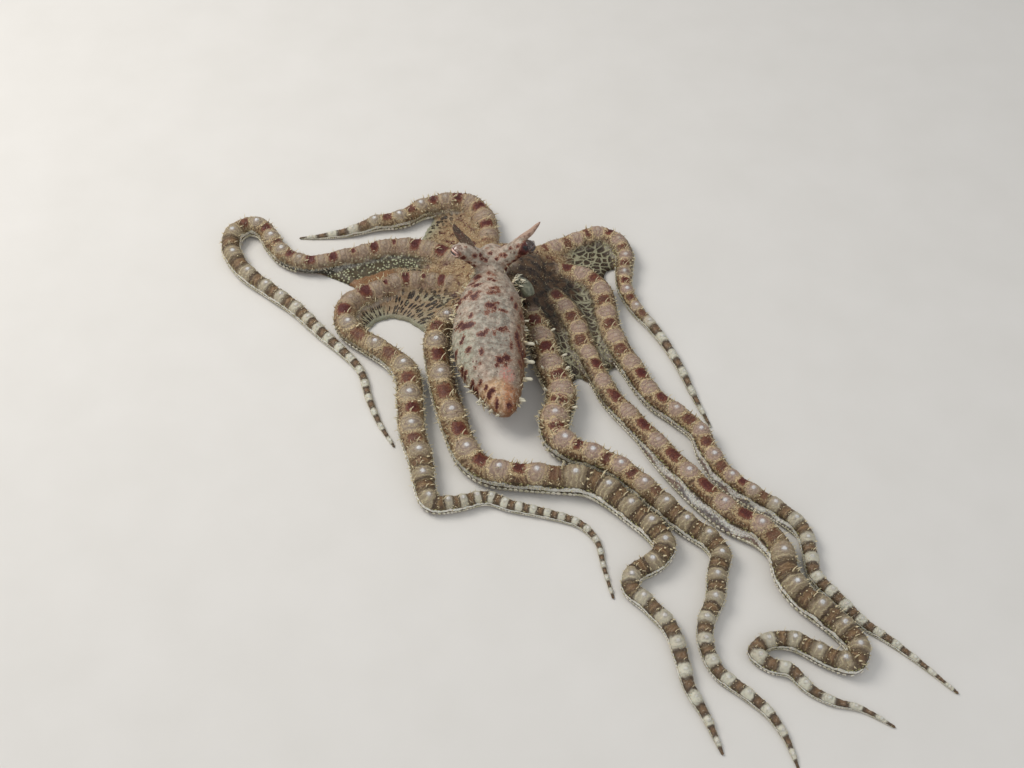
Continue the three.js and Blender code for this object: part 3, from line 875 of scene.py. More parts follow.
# %% Free arms
def zip_rings(form, first, second):
    """Triangles between two closed rings, each a list of (turn, point) sorted by turn."""
    i = j = 0
    first = first + [(first[0][0] + 2 * math.pi, first[0][1])]
    second = second + [(second[0][0] + 2 * math.pi, second[0][1])]
    while i < len(first) - 1 or j < len(second) - 1:
        move_first = j == len(second) - 1 or (
            i < len(first) - 1 and first[i + 1][0] <= second[j + 1][0])
        corner = first[i + 1][1] if move_first else second[j + 1][1]
        form.faces.new((first[i][1], second[j][1], corner))
        i, j = (i + 1, j) if move_first else (i, j + 1)


def settle_rim(arm, s, loop):
    """Moves the cut ring onto the exact section, in its own order, so no edge folds over."""
    found = [settle_on_section(arm, s, np.array(v.co))[1] for v in loop]
    if np.diff(np.unwrap(found)).sum() < 0:
        found, loop = found[::-1], loop[::-1]
    first = int(np.argmin(found))
    loop = loop[first:] + loop[:first]
    turns = sorted(found)
    for i in range(1, len(turns)):
        turns[i] = max(turns[i], turns[i - 1] + 0.01)
    for v, place in zip(loop, arm.surface(np.full(len(turns), s), np.array(turns))):
        v.co = place
    return list(zip(turns, loop))


def tag_ring(points, arm, s, turns):
    for v, turn in zip(points, turns):
        set_tags(v, arm.index, s, turn, 1.0, 0.0, 0.0)


def free_arm(form, arm, loop):
    """Adds the free part of an arm, from the ring of its cut to its tip."""
    start = float(MOULDED_TO[arm.name])
    rim = settle_rim(arm, start, loop)
    tag_ring([v for _, v in rim], arm, start, [t for t, _ in rim])
    turns = -math.pi + circle(SIDES) + 0.01
    stops = np.linspace(start, arm.length, int((arm.length - start) / SLICE) + 1)[1:]
    before = None
    for s in stops:
        points = [form.verts.new(p) for p in arm.surface(np.full(SIDES, s), turns)]
        tag_ring(points, arm, s, turns)
        if before is None:
            zip_rings(form, rim, list(zip(turns, points)))
        else:
            for j in range(SIDES):
                k = (j + 1) % SIDES
                form.faces.new((before[j], before[k], points[k], points[j]))
        before = points
    x, y, r = (float(v) for v in arm.at(arm.length))
    lx, ly = (float(v) for v in arm.left(arm.length))
    tip = form.verts.new((x + ly * r * 0.8, y - lx * r * 0.8, 0.7 * r))
    tag_ring([tip], arm, arm.length, [0.0])
    for j in range(SIDES):
        form.faces.new((before[j], before[(j + 1) % SIDES], tip))


EASE = 5     # the last millimetres of each root slide onto the exact section
for v in form.verts:
    arm = list(arms.values())[int(v[tags["arm"]]) - 1]
    left = MOULDED_TO[arm.name] - v[tags["s"]]
    if left < EASE and v[tags["near"]] > 0.5:
        place, _ = settle_on_section(arm, v[tags["s"]], np.array(v.co))
        v.co = Vector(v.co).lerp(Vector(place), (1 - left / EASE) * v[tags["near"]])

for name, arm in arms.items():
    free_arm(form, arm, loops[name])
for v in [v for v in form.verts if not v.link_faces]:
    form.verts.remove(v)
bmesh.ops.recalc_face_normals(form, faces=form.faces)
open_edges = sum(1 for e in form.edges if e.is_boundary)
print("skin:", len(form.verts), "points,", len(form.faces), "faces,", open_edges,
      "open edges")

# %% [markdown]
# ## An unwrap of the skin
# The free arms unroll into long strips. The moulded part, which has no such order, is
# unwrapped by face direction and packed beside them. The papillae find their places on
# this same sheet later.

# %% Unwrap
UNIT_MM = 230            # millimetres of skin along one side of the sheet
STRIP_ROWS = [["l4"], ["r3"], ["r4", "l1"], ["l2", "r1"], ["r2"], ["l3"]]
STRIP_GAP, STRIP_GIRTH = 0.005, 5.2     # the girth of an arm is 5.2 of its radii

bmesh.ops.triangulate(form, faces=[f for f in form.faces if len(f.verts) > 4])
skin_mesh = bpy.data.meshes.new("octopus_skin")
form.to_mesh(skin_mesh)
form.free()
skin_mesh.shade_smooth()
skin = bpy.data.objects.new("octopus_skin", skin_mesh)
scene.collection.objects.link(skin)


def read(mesh, name):
    values = np.zeros(len(mesh.vertices))
    mesh.attributes[name].data.foreach_get("value", values)
    return values


arm_id, along, turn, near, body_near, crown_near = (read(skin_mesh, key) for key in TAGS)
loop_point = np.zeros(len(skin_mesh.loops), int)
skin_mesh.loops.foreach_get("vertex_index", loop_point)
face_start = np.array([p.loop_start for p in skin_mesh.polygons])
face_size = np.array([p.loop_total for p in skin_mesh.polygons])
loop_face = np.repeat(np.arange(len(face_start)), face_size)
cut_at = np.array([MOULDED_TO[name] for name in ARMS], float)[arm_id.astype(int) - 1]
free_point = (near >= 1.0) & (along >= cut_at - 1e-3) & (body_near == 0)
free_face = np.minimum.reduceat(free_point[loop_point], face_start).astype(bool)

bpy.context.view_layer.objects.active = skin
skin.select_set(True)
skin_mesh.uv_layers.new(name="OFBake")
skin_mesh.polygons.foreach_set("select", ~free_face)
bpy.ops.object.mode_set(mode="EDIT")
bpy.ops.uv.smart_project(angle_limit=1.15, island_margin=0.003)
bpy.ops.object.mode_set(mode="OBJECT")
sheet = np.zeros(2 * len(skin_mesh.loops))
skin_mesh.uv_layers["OFBake"].data.foreach_get("uv", sheet)
sheet = sheet.reshape(-1, 2)

free_loop = free_face[loop_face]
turn_here = turn[loop_point]
high = np.maximum.reduceat(turn_here, face_start)[loop_face]
low = np.minimum.reduceat(turn_here, face_start)[loop_face]
turn_here = np.where((high - low > math.pi) & (turn_here < 0), turn_here + 2 * math.pi,
                     turn_here)
floor_line = STRIP_GAP
for row in STRIP_ROWS:
    left, height = STRIP_GAP, 0
    for name in row:
        arm = arms[name]
        start = MOULDED_TO[name]
        width = STRIP_GIRTH * float(arm.at(start + 1)[2]) / UNIT_MM
        mine = free_loop & (arm_id[loop_point] == arm.index)
        sheet[mine, 0] = left + (along[loop_point][mine] - start) / UNIT_MM
        sheet[mine, 1] = floor_line + width * (turn_here[mine] + math.pi) / (2.1 * math.pi)
        left += (arm.length - start + 2) / UNIT_MM
        height = max(height, width)
    floor_line += height + STRIP_GAP
mould_loop = ~free_loop
sheet[mould_loop, 1] = floor_line + sheet[mould_loop, 1] * (1 - floor_line)
skin_mesh.uv_layers["OFBake"].data.foreach_set("uv", sheet.ravel())
print("unwrap: strips fill", round(floor_line, 2), "of the sheet,", int(free_face.sum()),
      "faces on strips")

# %% [markdown]
# ## Numbers for the pattern
# Every point of the skin gets a few plain numbers, stored as attributes: bands counted
# along its arm, its lean from the arm's crest, and its share of arm, web or body. The
# paint turns them into blotches, bands and dots, and the relief below uses them too.

# %% Attributes
def per_arm(make):
    """Evaluates a rule of (arm, distance) for every point, arm by arm."""
    result = np.zeros(len(arm_id))
    for arm in arms.values():
        mine = arm_id == arm.index
        result[mine] = make(arm, along[mine])
    return result


def smooth_step(value, low, high):
    """0 at low, 1 at high, with soft ends; low may be the greater."""
    t = np.clip((value - low) / (high - low), 0, 1)
    return t * t * (3 - 2 * t)


def read_rows(mesh, key):
    """The place ("co") or the normal of every point, one row each."""
    values = np.zeros(3 * len(mesh.vertices))
    mesh.vertices.foreach_get(key, values)
    return values.reshape(-1, 3)


def disc(x, y, outer, inner):
    """1 within the inner radius of a place, falling to 0 at the outer one."""
    return smooth_step(np.hypot(place[:, 0] - x, place[:, 1] - y), outer, inner)


place = read_rows(skin_mesh, "co")
cycle = per_arm(lambda arm, s: arm.cycles(s)[0])
pitch = per_arm(lambda arm, s: arm.cycles(s)[1])
girth = per_arm(lambda arm, s: arm.at(s)[2])
banded = per_arm(lambda arm, s: smooth_step(s, BANDED_FROM[arm.name] - 8,
                                            BANDED_FROM[arm.name] + 10))
smooth = per_arm(lambda arm, s: smooth_step(s, SMOOTH_TO[arm.name] + 8,
                                            SMOOTH_TO[arm.name] - 8))
weak = per_arm(lambda arm, s: np.isin(np.floor(arm.cycles(s)[0] + 0.5),
                                      WEAK.get(arm.name, ())).astype(float))
lean, crest = np.sin(turn), np.cos(turn)
WEB_NEAR = 0.2      # what is near to nothing else belongs to a web
total = near + body_near + crown_near * (1 - body_near) + WEB_NEAR
arm_share = np.where(free_point, 1.0, near / total)
body_share = np.where(free_point, 0.0, body_near / total)
arm_share = smooth_step(arm_share, 0.15, 0.75)
body_share = smooth_step(body_share, 0.2, 0.75)
print("points on arms:", int((arm_share > 0.5).sum()), "on the body:",
      int((body_share > 0.5).sum()))

# %% [markdown]
# The webs need numbers of their own: how near a point is to an arm or to the free rim, the
# mottled hub round the crown, painted shade on the webs beside the head, and smooth strips
# along the edges of three arms. The cells of their net get stretched coordinates.

# %% Regions of the webs
hub = np.maximum(smooth_step(np.linalg.norm(place[:, :2] - CROWN_CENTRE, axis=1), 11, 7),
                 disc(-14, 70, 25, 19))
beside = np.full(len(place), 99.0)
for name, arm in arms.items():
    x, y, r = arm.at(np.arange(0, MOULDED_TO[name] + 3, 0.8))
    gaps = np.hypot(place[:, :1] - x, place[:, 1:2] - y) - r
    beside = np.minimum(beside, gaps.min(1))
beside = smooth_step(beside, 2.2, 0.4)
rim = smooth_step(np.min([distance_to_line(place[:, :2], web_outline(*spec)[1])
                          for spec in WEBS.values()], 0), 1.7, 0.6)
# Painted shade on the webs beside the head and the mantle, and a plain flap beyond one web
dusk = np.maximum(disc(0.5, 56, 13, 8), disc(-1, 44, 11, 6))
plain = smooth_step(place[:, 0], -40, -48) * smooth_step(place[:, 1], 56, 60)

# A smooth strip runs along the outer side of three arms: from, to, side
STRIPS = {"r3": (58, 122, 1), "r2": (62, 130, 1), "l2": (18, 62, -1)}
strip = np.zeros(len(arm_id))
for name, (start, end, side) in STRIPS.items():
    mine = (arm_id == arms[name].index) & (lean * side > 0.3)
    strip[mine] = (smooth_step(along[mine], start - 6, start + 6)
                   * smooth_step(along[mine], end + 6, end - 6))

# Beside one arm the strip lies on the web, just under the arm's edge
x, y, r = arms["l2"].at(np.arange(14, 62, 0.6))
gaps = np.hypot(place[:, :1] - x, place[:, 1:2] - y)
nearest = np.argmin(gaps, 1)
gap = gaps[np.arange(len(place)), nearest] - r[nearest] * 0.85
below = (place[:, 1] < y[nearest]) & (place[:, 0] < -22)
strip = np.maximum(strip, below * smooth_step(gap, 2.5, 1.9) * smooth_step(gap, -0.3, 0.3))

# Cells of the web run outwards from the crown, or from the opening inside one arm's loop
HOLE, HOLE_REACH = np.array([-46.5, 40.5]), 19
round_hole = np.linalg.norm(place[:, :2] - HOLE, axis=1) < HOLE_REACH


def polar_cells(centre, base, growth, length):
    """Coordinates in which cells are long outwards and narrow sideways."""
    offset = place[:, :2] - centre
    radius = np.maximum(np.linalg.norm(offset, axis=1), 0.5)[:, None]
    return np.hstack([offset / radius * (base + growth * radius), radius / length])


cells = np.where(round_hole[:, None], polar_cells(HOLE, 14, 0, 2.8),
                 polar_cells(CROWN_CENTRE, 8, 0.5, 4.2))
print("points on a smooth strip:", int((strip > 0.5).sum()))

# %% [markdown]
# ## Marks placed one by one
# The dark marks of the mantle and the head don't repeat, so they are a list of places. Each
# point of the skin stores how deep it lies in the nearest mark. The paint gives the mark an
# uneven edge. Last, all the numbers go into the mesh under their names.

# %% Marks and stored numbers
def store(mesh, name, values):
    """Keeps one number or vector for each point of a mesh, under a name."""
    kind = "FLOAT_VECTOR" if values.ndim == 2 else "FLOAT"
    made = mesh.attributes.new(name, kind, "POINT")
    made.data.foreach_set("vector" if values.ndim == 2 else "value", values.ravel())


# Dark marks on the mantle and head: x, y, half width, half length, strength
BODY_MARKS = [
    (-19.1, 44.6, 0.9, 1, 1), (-15.7, 45.7, 0.4, 0.7, 0.7), (-14.2, 44.8, 0.4, 0.5, 0.7),
    (-15.3, 42.6, 0.6, 0.5, 0.9), (-14.2, 42, 0.6, 0.4, 0.9), (-20.6, 42.3, 0.7, 0.4, 0.9),
    (-19.1, 40.7, 1, 0.5, 1), (-18.4, 37.6, 0.6, 0.3, 0.6), (-14.7, 38.6, 0.6, 0.4, 0.8),
    (-13.3, 39.1, 0.6, 0.4, 0.8), (-14.7, 36.9, 0.9, 0.5, 0.9), (-13, 37.6, 0.5, 0.4, 0.8),
    (-21, 38.1, 0.6, 0.7, 0.8), (-19.8, 36.2, 0.9, 0.9, 1), (-24.4, 37.5, 0.9, 1.1, 1.2),
    (-22.5, 37.6, 0.4, 0.6, 0.9), (-15.8, 32.6, 0.7, 0.7, 0.9), (-14.9, 32.2, 0.6, 0.7, 0.9),
    (-13.3, 33.4, 0.7, 0.4, 0.9), (-13.8, 31.7, 0.5, 0.5, 0.8), (-16.1, 30.2, 0.6, 0.7, 0.7),
    (-14.1, 30.5, 0.4, 0.5, 0.7), (-11.5, 31.2, 0.9, 0.4, 0.8), (-20.6, 29.8, 0.5, 0.6, 0.8),
    (-23.9, 28.4, 0.9, 0.7, 1), (-22.3, 27, 1, 0.8, 1.2), (-20.9, 26.8, 0.9, 0.8, 1.1),
    (-17.4, 23.1, 0.9, 0.6, 1.1), (-16, 24.2, 0.4, 0.5, 0.8), (-18.5, 23.6, 0.4, 0.3, 0.8),
    (-11.8, 24.8, 1, 0.5, 0.6), (-10.7, 25.7, 0.4, 0.5, 0.6), (-14, 23.4, 0.4, 0.5, 0.5),
    (-22.8, 24.1, 0.4, 0.4, 0.9), (-23.2, 22.9, 0.5, 0.5, 1), (-21.2, 19.7, 0.6, 0.6, 1),
    (-17.5, 18.3, 0.5, 0.7, 1), (-12.5, 15.8, 0.8, 0.8, 1.1), (-10.4, 16.8, 0.8, 0.8, 1.1),
    (-13.2, 14.2, 0.4, 0.4, 0.8), (-10.7, 14.8, 0.4, 0.5, 0.7), (-18, 15.2, 0.4, 0.3, 0.8),
    (-19.3, 14.6, 0.3, 0.3, 0.6), (-7.6, 24.3, 0.5, 1.4, 0.7), (-7, 22.4, 0.5, 1.4, 0.8),
    (-5.9, 20.5, 0.5, 1.4, 0.8), (-9.3, 20.8, 0.3, 1, 0.6), (-24.9, 21.4, 0.4, 0.7, 1),
    (-23.4, 16.3, 0.6, 0.7, 1.1), (-22.5, 14.8, 0.7, 0.6, 1.1), (-20.2, 11.6, 0.5, 0.6, 1),
    (-19.2, 10, 0.6, 0.6, 1), (-17.8, 10.8, 0.4, 0.5, 0.9), (-16.2, 9.2, 0.4, 0.5, 1),
    (-15.2, 7.6, 0.5, 0.7, 1), (-14.3, 8.1, 0.5, 0.5, 1), (-13.2, 5.1, 0.4, 0.7, 1),
    (-13.3, 6.1, 0.3, 0.4, 0.8), (-9.7, 4.8, 0.6, 0.7, 1),
    (-9, 36.6, 0.3, 0.7, 0.7), (-7.9, 34.8, 0.4, 0.8, 0.8),
    (-6.4, 33, 0.3, 0.9, 0.7), (-6.8, 17.3, 0.5, 0.7, 0.7), (-7, 28.1, 0.4, 0.5, 0.7),
]
# Marks on the head and the stalks: place, radius, strength. Most are the animal's own; the
# three largest and strongest, round the right eye, are painted shade.
HEAD_MARKS = [
    ((-24.3, 50.4, 28.1), 0.6, 1), ((-22.2, 49.5, 27.8), 0.5, 0.8), ((-19.7, 48.8, 24.5), 0.7, 1),
    ((-18, 49.9, 23.7), 0.6, 1), ((-17.6, 49, 22.8), 0.5, 0.9), ((-16.8, 49.6, 22), 0.6, 1),
    ((-15.4, 51.7, 22.8), 0.6, 1), ((-16.3, 54, 23), 0.6, 0.9), ((-24.3, 48, 26.1), 0.7, 1.1),
    ((-23.1, 47.8, 24.6), 0.8, 1.1), ((-21.8, 48.3, 22.1), 0.8, 1.1),
    ((-20.2, 48.3, 20.6), 0.7, 1), ((-12.2, 50.9, 22.8), 0.5, 0.8),
    ((-11.2, 50.4, 23.2), 0.5, 0.8), ((-9.6, 51.2, 25.4), 0.6, 0.9),
    ((-7.6, 50.6, 26.7), 0.5, 0.8), ((-13.4, 50.2, 21.9), 0.5, 0.8),
    ((-10.6, 49.6, 18), 0.9, 1.1), ((-9.4, 49.8, 19.6), 0.8, 1.1), ((-8.1, 50, 21.2), 0.8, 1.1),
    ((-6.9, 49.7, 22.8), 0.8, 1.1), ((-5.9, 49.7, 24.6), 1.1, 1.5), ((-5, 50, 26.6), 1.5, 1.7),
    ((-4.4, 51.4, 28), 1.2, 1.6), ((-20.9, 53.4, 26.6), 0.6, 0.8), ((-9, 54.6, 24.5), 0.7, 0.9),
    ((-12.5, 55, 22.5), 0.6, 0.9),
]
mark = np.full(len(place), -1.0)
for x, y, wide, long, strength in BODY_MARKS:
    far = np.hypot((place[:, 0] - x) / wide, (place[:, 1] - y) / long) / 1.2
    mark = np.maximum(mark, np.where(place[:, 2] < 23, strength * (1.3 - far), -1))
normals = read_rows(skin_mesh, "normal")
mark -= 6 * np.clip(0.1 - normals[:, 2], 0, 1)      # none on the underside
for spot, size, strength in HEAD_MARKS:
    far = np.linalg.norm(place - spot, axis=1) / size
    mark = np.maximum(mark, strength * (1.3 - far))

for name, values in {"cycle": cycle, "pitch": pitch, "girth": girth, "banded": banded,
                     "lean": lean, "crest": crest, "along": along, "arm_id": arm_id,
                     "arm_share": arm_share, "body_share": body_share, "mark": mark,
                     "strip": strip, "open_side": free_point.astype(float),
                     "hub": hub, "beside": beside, "rim": rim, "dusk": dusk,
                     "plain": plain, "smooth": smooth, "weak": weak,
                     "cells": cells}.items():
    store(skin_mesh, name, values)
for key in TAGS:
    skin_mesh.attributes.remove(skin_mesh.attributes[key])
print("attributes:", [a.name for a in skin_mesh.attributes if not a.name.startswith(".")])

# %% [markdown]
# ## Relief
# Real skin is never smooth. Fine folds ring the arms, pads swell between the blotches, and
# a wart stands on each pad. Near the crown the arms are calmer. The mantle is wrinkled. The
# points move along their normals by tenths of a millimetre, so the form itself has all this.

# %% Relief
FOLD_MM = 1.15     # from one fold to the next, round a pad
PLEAT_MM = 1.7     # from one wrinkle of the mantle to the next


def rough(points, size, seed):
    """Smooth random values of a given grain size, from about -1 to 1."""
    shift = Vector((seed * 17.3, seed * 5.1, seed * 9.7))
    return np.array([noise.noise(Vector(p) + shift) for p in (points / size).tolist()])


to_dot = np.abs(cycle - np.floor(cycle) - 0.5) * pitch
reach = np.hypot(to_dot, lean * girth) + 9 * (crest < 0)
arc = np.hypot(to_dot, (0.6 - 0.3 * smooth) * lean * girth)
fine, coarse = rough(place, 0.9, 1), rough(place, 2.4, 2)
rings = np.sin(arc * 2 * math.pi / FOLD_MM + 3.2 * coarse)
pad_gap = np.hypot(to_dot / np.minimum(0.4 * pitch, girth), lean / 0.95)
blotch_gap = (((0.5 - to_dot / pitch) / 0.2) ** 4 + (np.abs(lean) / 0.6) ** 4) ** 0.25
boss = np.sqrt(np.clip(1 - pad_gap ** 2, 0, 1)) * (crest > 0) * (1 - 0.65 * smooth)
plate = smooth_step(blotch_gap, 1.15, 0.85) * (crest > 0) * (1 - banded)
swell = np.cos(2 * math.pi * to_dot / pitch)
upper = smooth_step(crest, -0.5, 0.2)
arm_relief = upper * (
    girth * (0.1 * boss + 0.05 * plate - 0.04 + 0.05 * swell) + 0.05 * fine
    + (0.05 + 0.024 * girth) * rings * (1 - 0.6 * boss) * (0.8 + 0.6 * coarse + 0.4 * smooth)
    + 0.1 * coarse + 0.26 * np.exp(-(reach / 0.6) ** 2) * (1 - smooth))
web_relief = 0.16 * fine + 0.25 * coarse
pleats = np.sin(place[:, 1] * 2 * math.pi / PLEAT_MM + 3 * coarse)
body_relief = 0.2 * coarse + 0.12 * fine + 0.07 * pleats
shift = body_share * body_relief + (1 - body_share) * (
    arm_share * arm_relief + (1 - arm_share) * web_relief)
place = place + normals * (shift * np.where(place[:, 2] > 0.5, 1, 0))[:, None]
place[:, 2] = np.maximum(place[:, 2], 0)
skin_mesh.vertices.foreach_set("co", (place * MM).ravel())
skin_mesh.update()
print("relief from", round(float(shift.min()), 2), "to", round(float(shift.max()), 2), "mm")

# %% [markdown]
# ## Skin paint
# Near the body an arm is tan with squarish maroon blotches. Between two blotches lies a
# pale pad, with a white dot from the point where the arm stops being smooth. Towards the
# tips the blotches widen into brown and cream bands with a white edge line. The webs have
# dark cells on one side of the animal and pale branching lines on the other. The mantle is
# grey-beige and freckled, with an orange tip.
#
# First come the plain values that all these patterns are made from.

# %% Values for the patterns
STORED = ("lean", "girth", "pitch", "crest", "along", "smooth", "weak", "banded", "strip")
RIDGE_MM = 1.3     # from one fine ridge to the next, on the thin part of an arm


def hypot(first, second):
    return (first ** 2 + second ** 2).math("SQRT")


def from_whole(count):
    """How far a count is from the nearest whole number."""
    return abs((count + 0.5).math("FRACT") - 0.5)


def surface_values(paint):
    """Where a point of the skin lies in the pattern, as plain values."""
    v = SimpleNamespace(where=paint.place(), **{name: paint[name] for name in STORED})
    v.x, v.y, v.z = paint.axes(v.where)
    v.broad, v.grain = paint.noise(v.where, 0.13), paint.noise(v.where, 0.75)
    v.fine = paint.noise(v.where, 2.3, 3)
    cycle = paint["cycle"]
    from_dot = 0.5 - from_whole(cycle)
    v.reach = hypot(from_dot * v.pitch, v.lean * v.girth)
    v.to_blotch = from_whole(cycle.stray(v.grain, 0.2))
    v.swell = (from_dot * (2 * math.pi)).math("COSINE")
    number = (cycle + 0.5).math("FLOOR") + paint["arm_id"] * 13.7
    v.chance = paint.node("ShaderNodeTexWhiteNoise", {"noise_dimensions": "1D"},
                          {"W": number})
    arc = hypot(from_dot * v.pitch, v.lean * v.girth * (0.6 - v.smooth * 0.3))
    fold = (arc * (2 * math.pi / FOLD_MM) + v.grain * 13).math("SINE")
    v.ridge = fold.rise(0.3, 0.9) * v.fine.rise(0.42, 0.58)
    v.groove = fold.rise(-0.2, -0.9)
    v.top = v.crest.rise(-0.1, 0.3)
    return v


def specks(paint, v, scale, low, high):
    """Small uneven dots."""
    return paint.cells(v.where, scale).stray(v.fine, 0.5).rise(high, low)


skin_paint = Paint("octopus skin")
here = surface_values(skin_paint)
print("values:", ", ".join(vars(here)))

# %% [markdown]
# The colour of an arm is laid on in coats, from the ground colour up. Each coat is a pair:
# how much it covers, and its colour. The arms on the left are calmer and cleaner near the
# body than those on the right, which have cream cups round their blotches.

# %% Arm colours
def near_arm_colour(paint, v, east):
    """The thick part of an arm: tan folds, pale pads and a maroon blotch between two."""
    calm = v.smooth * (1 - east)
    off = v.lean + (v.chance - 0.6) * 0.5 * (1 - calm) + (v.fine - 0.5) * 0.5
    size = 1 - v.weak * 0.55
    box = ((v.to_blotch / (size * (calm * 0.03 + 0.16))) ** 3
           + (abs(off) / (size * (calm * 0.2 + 0.46))) ** 3)
    blotch = box.rise(2.2, 0.5) * v.top * (v.chance * 0.6 + calm + 0.5).math("MINIMUM", 1)
    core = box.rise(1.1, 0.1) * (v.grain + calm * 0.2).rise(0.25, 0.5)
    cup = box.rise(7, 4) * box.rise(1.6, 3) * v.top * v.fine.rise(0.35, 0.5)
    band = v.to_blotch.rise(0.3, 0.13) * v.top * (1 - calm * 0.6)
    spread = v.reach / v.girth
    pad = spread.stray(v.grain, 0.35).rise(0.95, 0.6) * v.top * (1 - calm * 0.5)
    rim = spread.stray(v.fine, 0.35)
    rim = rim.rise(0.68, 0.82) * rim.rise(1.02, 0.88) * v.top * (1 - calm * 0.85)
    rim = rim * v.fine.rise(0.42, 0.6) * 0.8 + calm * pad * v.fine.rise(0.4, 0.28) * 0.6
    return paint.coats(
        paint.mix(east, (166, 146, 118), (144, 118, 92)),
        (v.broad.rise(0.4, 0.6) * 0.6, (134, 108, 78)),
        (calm * 0.8, paint.mix(v.grain, (142, 112, 90), (184, 164, 146))),
        (v.grain.rise(0.52, 0.68) * 0.5, (104, 80, 52)),
        (band * 0.55, paint.mix(v.grain, (92, 58, 36), (136, 98, 64))),
        # Darker in the grooves between the folds: painted shade in the creases
        (v.groove * (1 - calm * 0.5) * 0.7, (74, 52, 34)),
        (pad * (0.7 + east * 0.15), paint.mix(east, (164, 152, 134), (178, 155, 140))),
        (v.groove * pad * 0.4, (112, 90, 74)),
        (v.ridge * (0.65 - calm * 0.35), (208, 192, 156)),
        (cup * (0.35 + east * 0.4), (206, 184, 144)),
        (blotch * 0.94, paint.mix(core, (128, 70, 44), (90, 26, 22))),
        (rim, paint.mix(calm, (212, 194, 156), (112, 72, 56))))


def far_arm_colour(paint, v):
    """The thin part of an arm: broad brown and cream bands, crossed by fine pale ridges."""
    dark = v.to_blotch.rise(0.34, 0.2)
    across = (v.along * (2 * math.pi / RIDGE_MM) + v.grain * 8).math("SINE").rise(0.1, 0.9)
    ridge = (v.ridge * 0.4 + across * v.fine.rise(0.35, 0.5)).math("MINIMUM", 1)
    ridge = ridge * v.girth.rise(1.6, 2.6)
    brown = paint.coats(
        paint.mix(v.fine, (62, 44, 30), (112, 86, 58)),
        (ridge * 0.55, (172, 154, 116)),
        (dark * v.to_blotch.rise(0.12, 0.26) * 0.6, (50, 34, 22)),
        (v.to_blotch.rise(0.16, 0.04) * v.crest.rise(0.5, 0.9) * 0.5, (150, 118, 84)))
    cream = paint.coats(
        paint.mix(v.grain, (130, 114, 90), (168, 154, 130)),
        (ridge * 0.5, (206, 194, 160)),
        (v.girth.rise(3.1, 1.7) * 0.85, (214, 212, 196)))
    return paint.mix(dark * v.fine.rise(0.1, 0.45) * 0.95, cream, brown)


def arm_colour(paint, v):
    """Colour of the arms, and the height of their folds."""
    east, open_side = v.x.rise(-45, 5), paint["open_side"]
    dot = (v.reach / (v.girth * 0.1 + 0.36)).stray(v.fine, 0.7)
    thin = v.banded * v.girth.rise(2.8, 1.8)
    clear = 1 - (v.smooth * 0.9 + thin * 0.6).math("MINIMUM", 1)
    halo = dot.rise(2, 1.1) * v.top * clear
    dot = dot.rise(1.15, 0.5) * v.top * clear
    # Below the crest: a darker flank with pale specks, a smooth strip, and a white hem
    low = v.crest.stray(v.grain, 0.3)
    dots = specks(paint, v, 1.15, 0.2, 0.42)
    flank = (low - east * 0.08).rise(0.42, 0.2)
    flank = flank * (0.45 + 0.45 * open_side + 0.3 * east).math("MINIMUM", 0.95)
    flank_colour = paint.coats(
        paint.mix(v.grain, (44, 36, 22), (100, 82, 52)),
        (east.rise(1, 0) * 0.6, (134, 116, 84)), (dots, (188, 184, 132)))
    strip_colour = paint.coats(
        paint.mix(v.broad.rise(0.4, 0.6), (146, 126, 116), (134, 126, 124)),
        (east.rise(0.7, 0.3), (58, 50, 34)), (dots * 0.8, (206, 208, 188)))
    hem = abs(low - 0.04 - v.swell * 0.12).rise(0.22, 0.11)
    hem = hem * (0.25 + open_side * 0.5 + v.banded * 0.25)
    colour = paint.coats(
        paint.mix(v.banded, near_arm_colour(paint, v, east), far_arm_colour(paint, v)),
        (halo * 0.3, (176, 168, 168)),
        (dot * 0.8, (226, 226, 226)),
        (flank, flank_colour),
        (v.strip * low.rise(0.25, 0.1), strip_colour),
        (hem * (v.fine + v.banded * 0.15).rise(0.3, 0.5), (234, 232, 224)),
        (v.crest.rise(-0.45, -0.8), (190, 160, 130)))
    return colour, v.ridge * 0.8 + dot * 0.6 - v.groove * 0.3


arm_tone, fold_height = arm_colour(skin_paint, here)
print("arm colours:", len(skin_paint.tree.nodes), "nodes so far")

# %% [markdown]
# A web has two kinds of net, and both come from cells scattered in stretched coordinates.
# The left side shows the cells as dark holes. The right side shows the lines between them.

